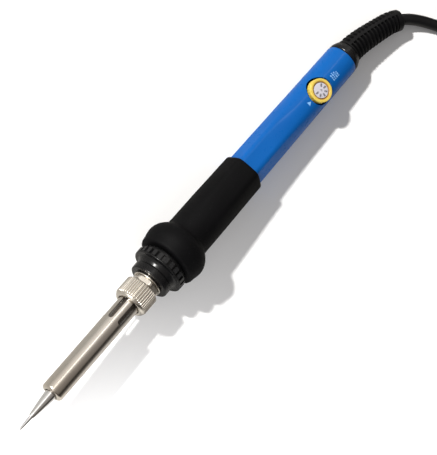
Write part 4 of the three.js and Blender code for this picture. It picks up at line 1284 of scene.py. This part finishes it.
# ------------------------------------------------------------------ floor and light
def make_stage():
    """The floor: one pale tone to the camera, a darker one in reflections."""
    mesh = bpy.data.meshes.new("floor")
    reach = 4.0
    corners = [(-reach, -reach, 0), (reach, -reach, 0), (reach, reach, 0), (-reach, reach, 0)]
    mesh.from_pydata(corners, [], [(0, 1, 2, 3)])
    floor = new_object("floor", mesh)
    look = bpy.data.materials.new("floor")
    look.use_nodes = True
    shader = look.node_tree.nodes["Principled BSDF"]
    nodes, link = look.node_tree.nodes, look.node_tree.links.new
    path, pick = nodes.new("ShaderNodeLightPath"), nodes.new("ShaderNodeMix")
    pick.data_type = "RGBA"
    pick.inputs[6].default_value, pick.inputs[7].default_value = (0.95, 0.95, 0.95, 1), (0.45, 0.44, 0.42, 1)
    link(path.outputs["Is Glossy Ray"], pick.inputs["Factor"])
    link(pick.outputs[2], shader.inputs["Base Color"])
    shader.inputs["Roughness"].default_value = 0.9
    shader.inputs["Specular IOR Level"].default_value = 0.1
    mesh.materials.append(look)


def add_sun():
    data = bpy.data.lights.new("key", "SUN")
    data.energy, data.angle = 4.15, math.radians(3.2)
    data.color = (1.0, 0.985, 0.96)
    sun = new_object("key", data)
    sun.rotation_euler = Vector((-0.36, 1.08, 1.0)).to_track_quat("Z", "Y").to_euler()


def add_fill():
    """A soft panel beside the bit, which thins the shadow towards its point."""
    data = bpy.data.lights.new("fill", "AREA")
    data.shape, data.size, data.energy = "DISK", 0.07, 0.19
    panel = new_object("fill", data)
    place, aim = Vector((-0.13, -0.095, 0.062)), Vector((-0.10, -0.02, 0.0))
    turn = (place - aim).to_track_quat("Z", "Y").to_matrix().to_4x4()
    panel.matrix_world = Matrix.Translation(place) @ turn
    panel.visible_glossy = False


def add_surroundings():
    """A light tent: its brightness goes by the angle round the iron, and the camera sees it plain."""
    world = bpy.data.worlds.new("tent")
    bpy.context.scene.world = world
    world.use_nodes = True
    nodes, link = world.node_tree.nodes, world.node_tree.links.new
    spot, split = nodes.new("ShaderNodeTexCoord"), nodes.new("ShaderNodeSeparateXYZ")
    link(spot.outputs["Generated"], split.inputs[0])
    angle = nodes.new("ShaderNodeMath")
    angle.operation = "ARCTAN2"
    link(split.outputs["Y"], angle.inputs[0])
    link(split.outputs["Z"], angle.inputs[1])
    share = nodes.new("ShaderNodeMapRange")
    share.inputs["From Min"].default_value = -math.pi / 2
    share.inputs["From Max"].default_value = math.pi / 2
    link(angle.outputs[0], share.inputs["Value"])
    ramp = nodes.new("ShaderNodeValToRGB")
    stops = [  # degrees from straight up towards +Y, colour
        (-90, (0.34, 0.33, 0.32)), (-78, (0.17, 0.16, 0.15)), (-68, (0.05, 0.045, 0.04)),
        (-53, (0.05, 0.045, 0.04)), (-42, (0.24, 0.22, 0.20)), (-20, (0.31, 0.28, 0.26)),
        (2, (0.42, 0.39, 0.36)), (14, (0.66, 0.62, 0.58)), (24, (1.15, 1.11, 1.06)),
        (27, (1.2, 1.16, 1.12)), (28.5, (3.8, 3.65, 3.5)), (31.5, (3.8, 3.65, 3.5)),
        (33, (1.15, 1.12, 1.08)), (50, (1.05, 1.01, 0.97)), (65, (0.80, 0.77, 0.73)),
        (90, (0.58, 0.57, 0.53)),
    ]
    ramp.color_ramp.interpolation = "EASE"
    elements = ramp.color_ramp.elements
    elements.remove(elements[1])
    for i, (degrees, colour) in enumerate(stops):
        element = elements[0] if i == 0 else elements.new((degrees + 90) / 180)
        element.color = (*colour, 1)
    link(share.outputs[0], ramp.inputs[0])
    path, pick = nodes.new("ShaderNodeLightPath"), nodes.new("ShaderNodeMix")
    pick.data_type = "RGBA"
    pick.inputs[7].default_value = (0.95, 0.95, 0.95, 1)
    link(path.outputs["Is Camera Ray"], pick.inputs["Factor"])
    link(ramp.outputs[0], pick.inputs[6])
    fill = nodes.new("ShaderNodeMix")
    fill.data_type = "RGBA"
    fill.inputs[7].default_value = (0.295, 0.288, 0.288, 1)
    link(path.outputs["Is Diffuse Ray"], fill.inputs["Factor"])
    link(pick.outputs[2], fill.inputs[6])
    link(fill.outputs[2], nodes["Background"].inputs["Color"])


make_stage()
add_sun()
add_fill()
add_surroundings()
bpy.context.scene.view_settings.view_transform = "Standard"

make_bit()
make_barrel()
make_nut()
make_nipple()
make_heater()
make_nose()
make_grip()
make_handle()
make_prints()
make_cap()
make_knob()
make_dial_numbers()
boot = make_strain_relief()
strap = make_strap()
plug, plug_ribs = make_plug()
blades = [make_blade(1), make_blade(2)]
finish_hidden_pieces()
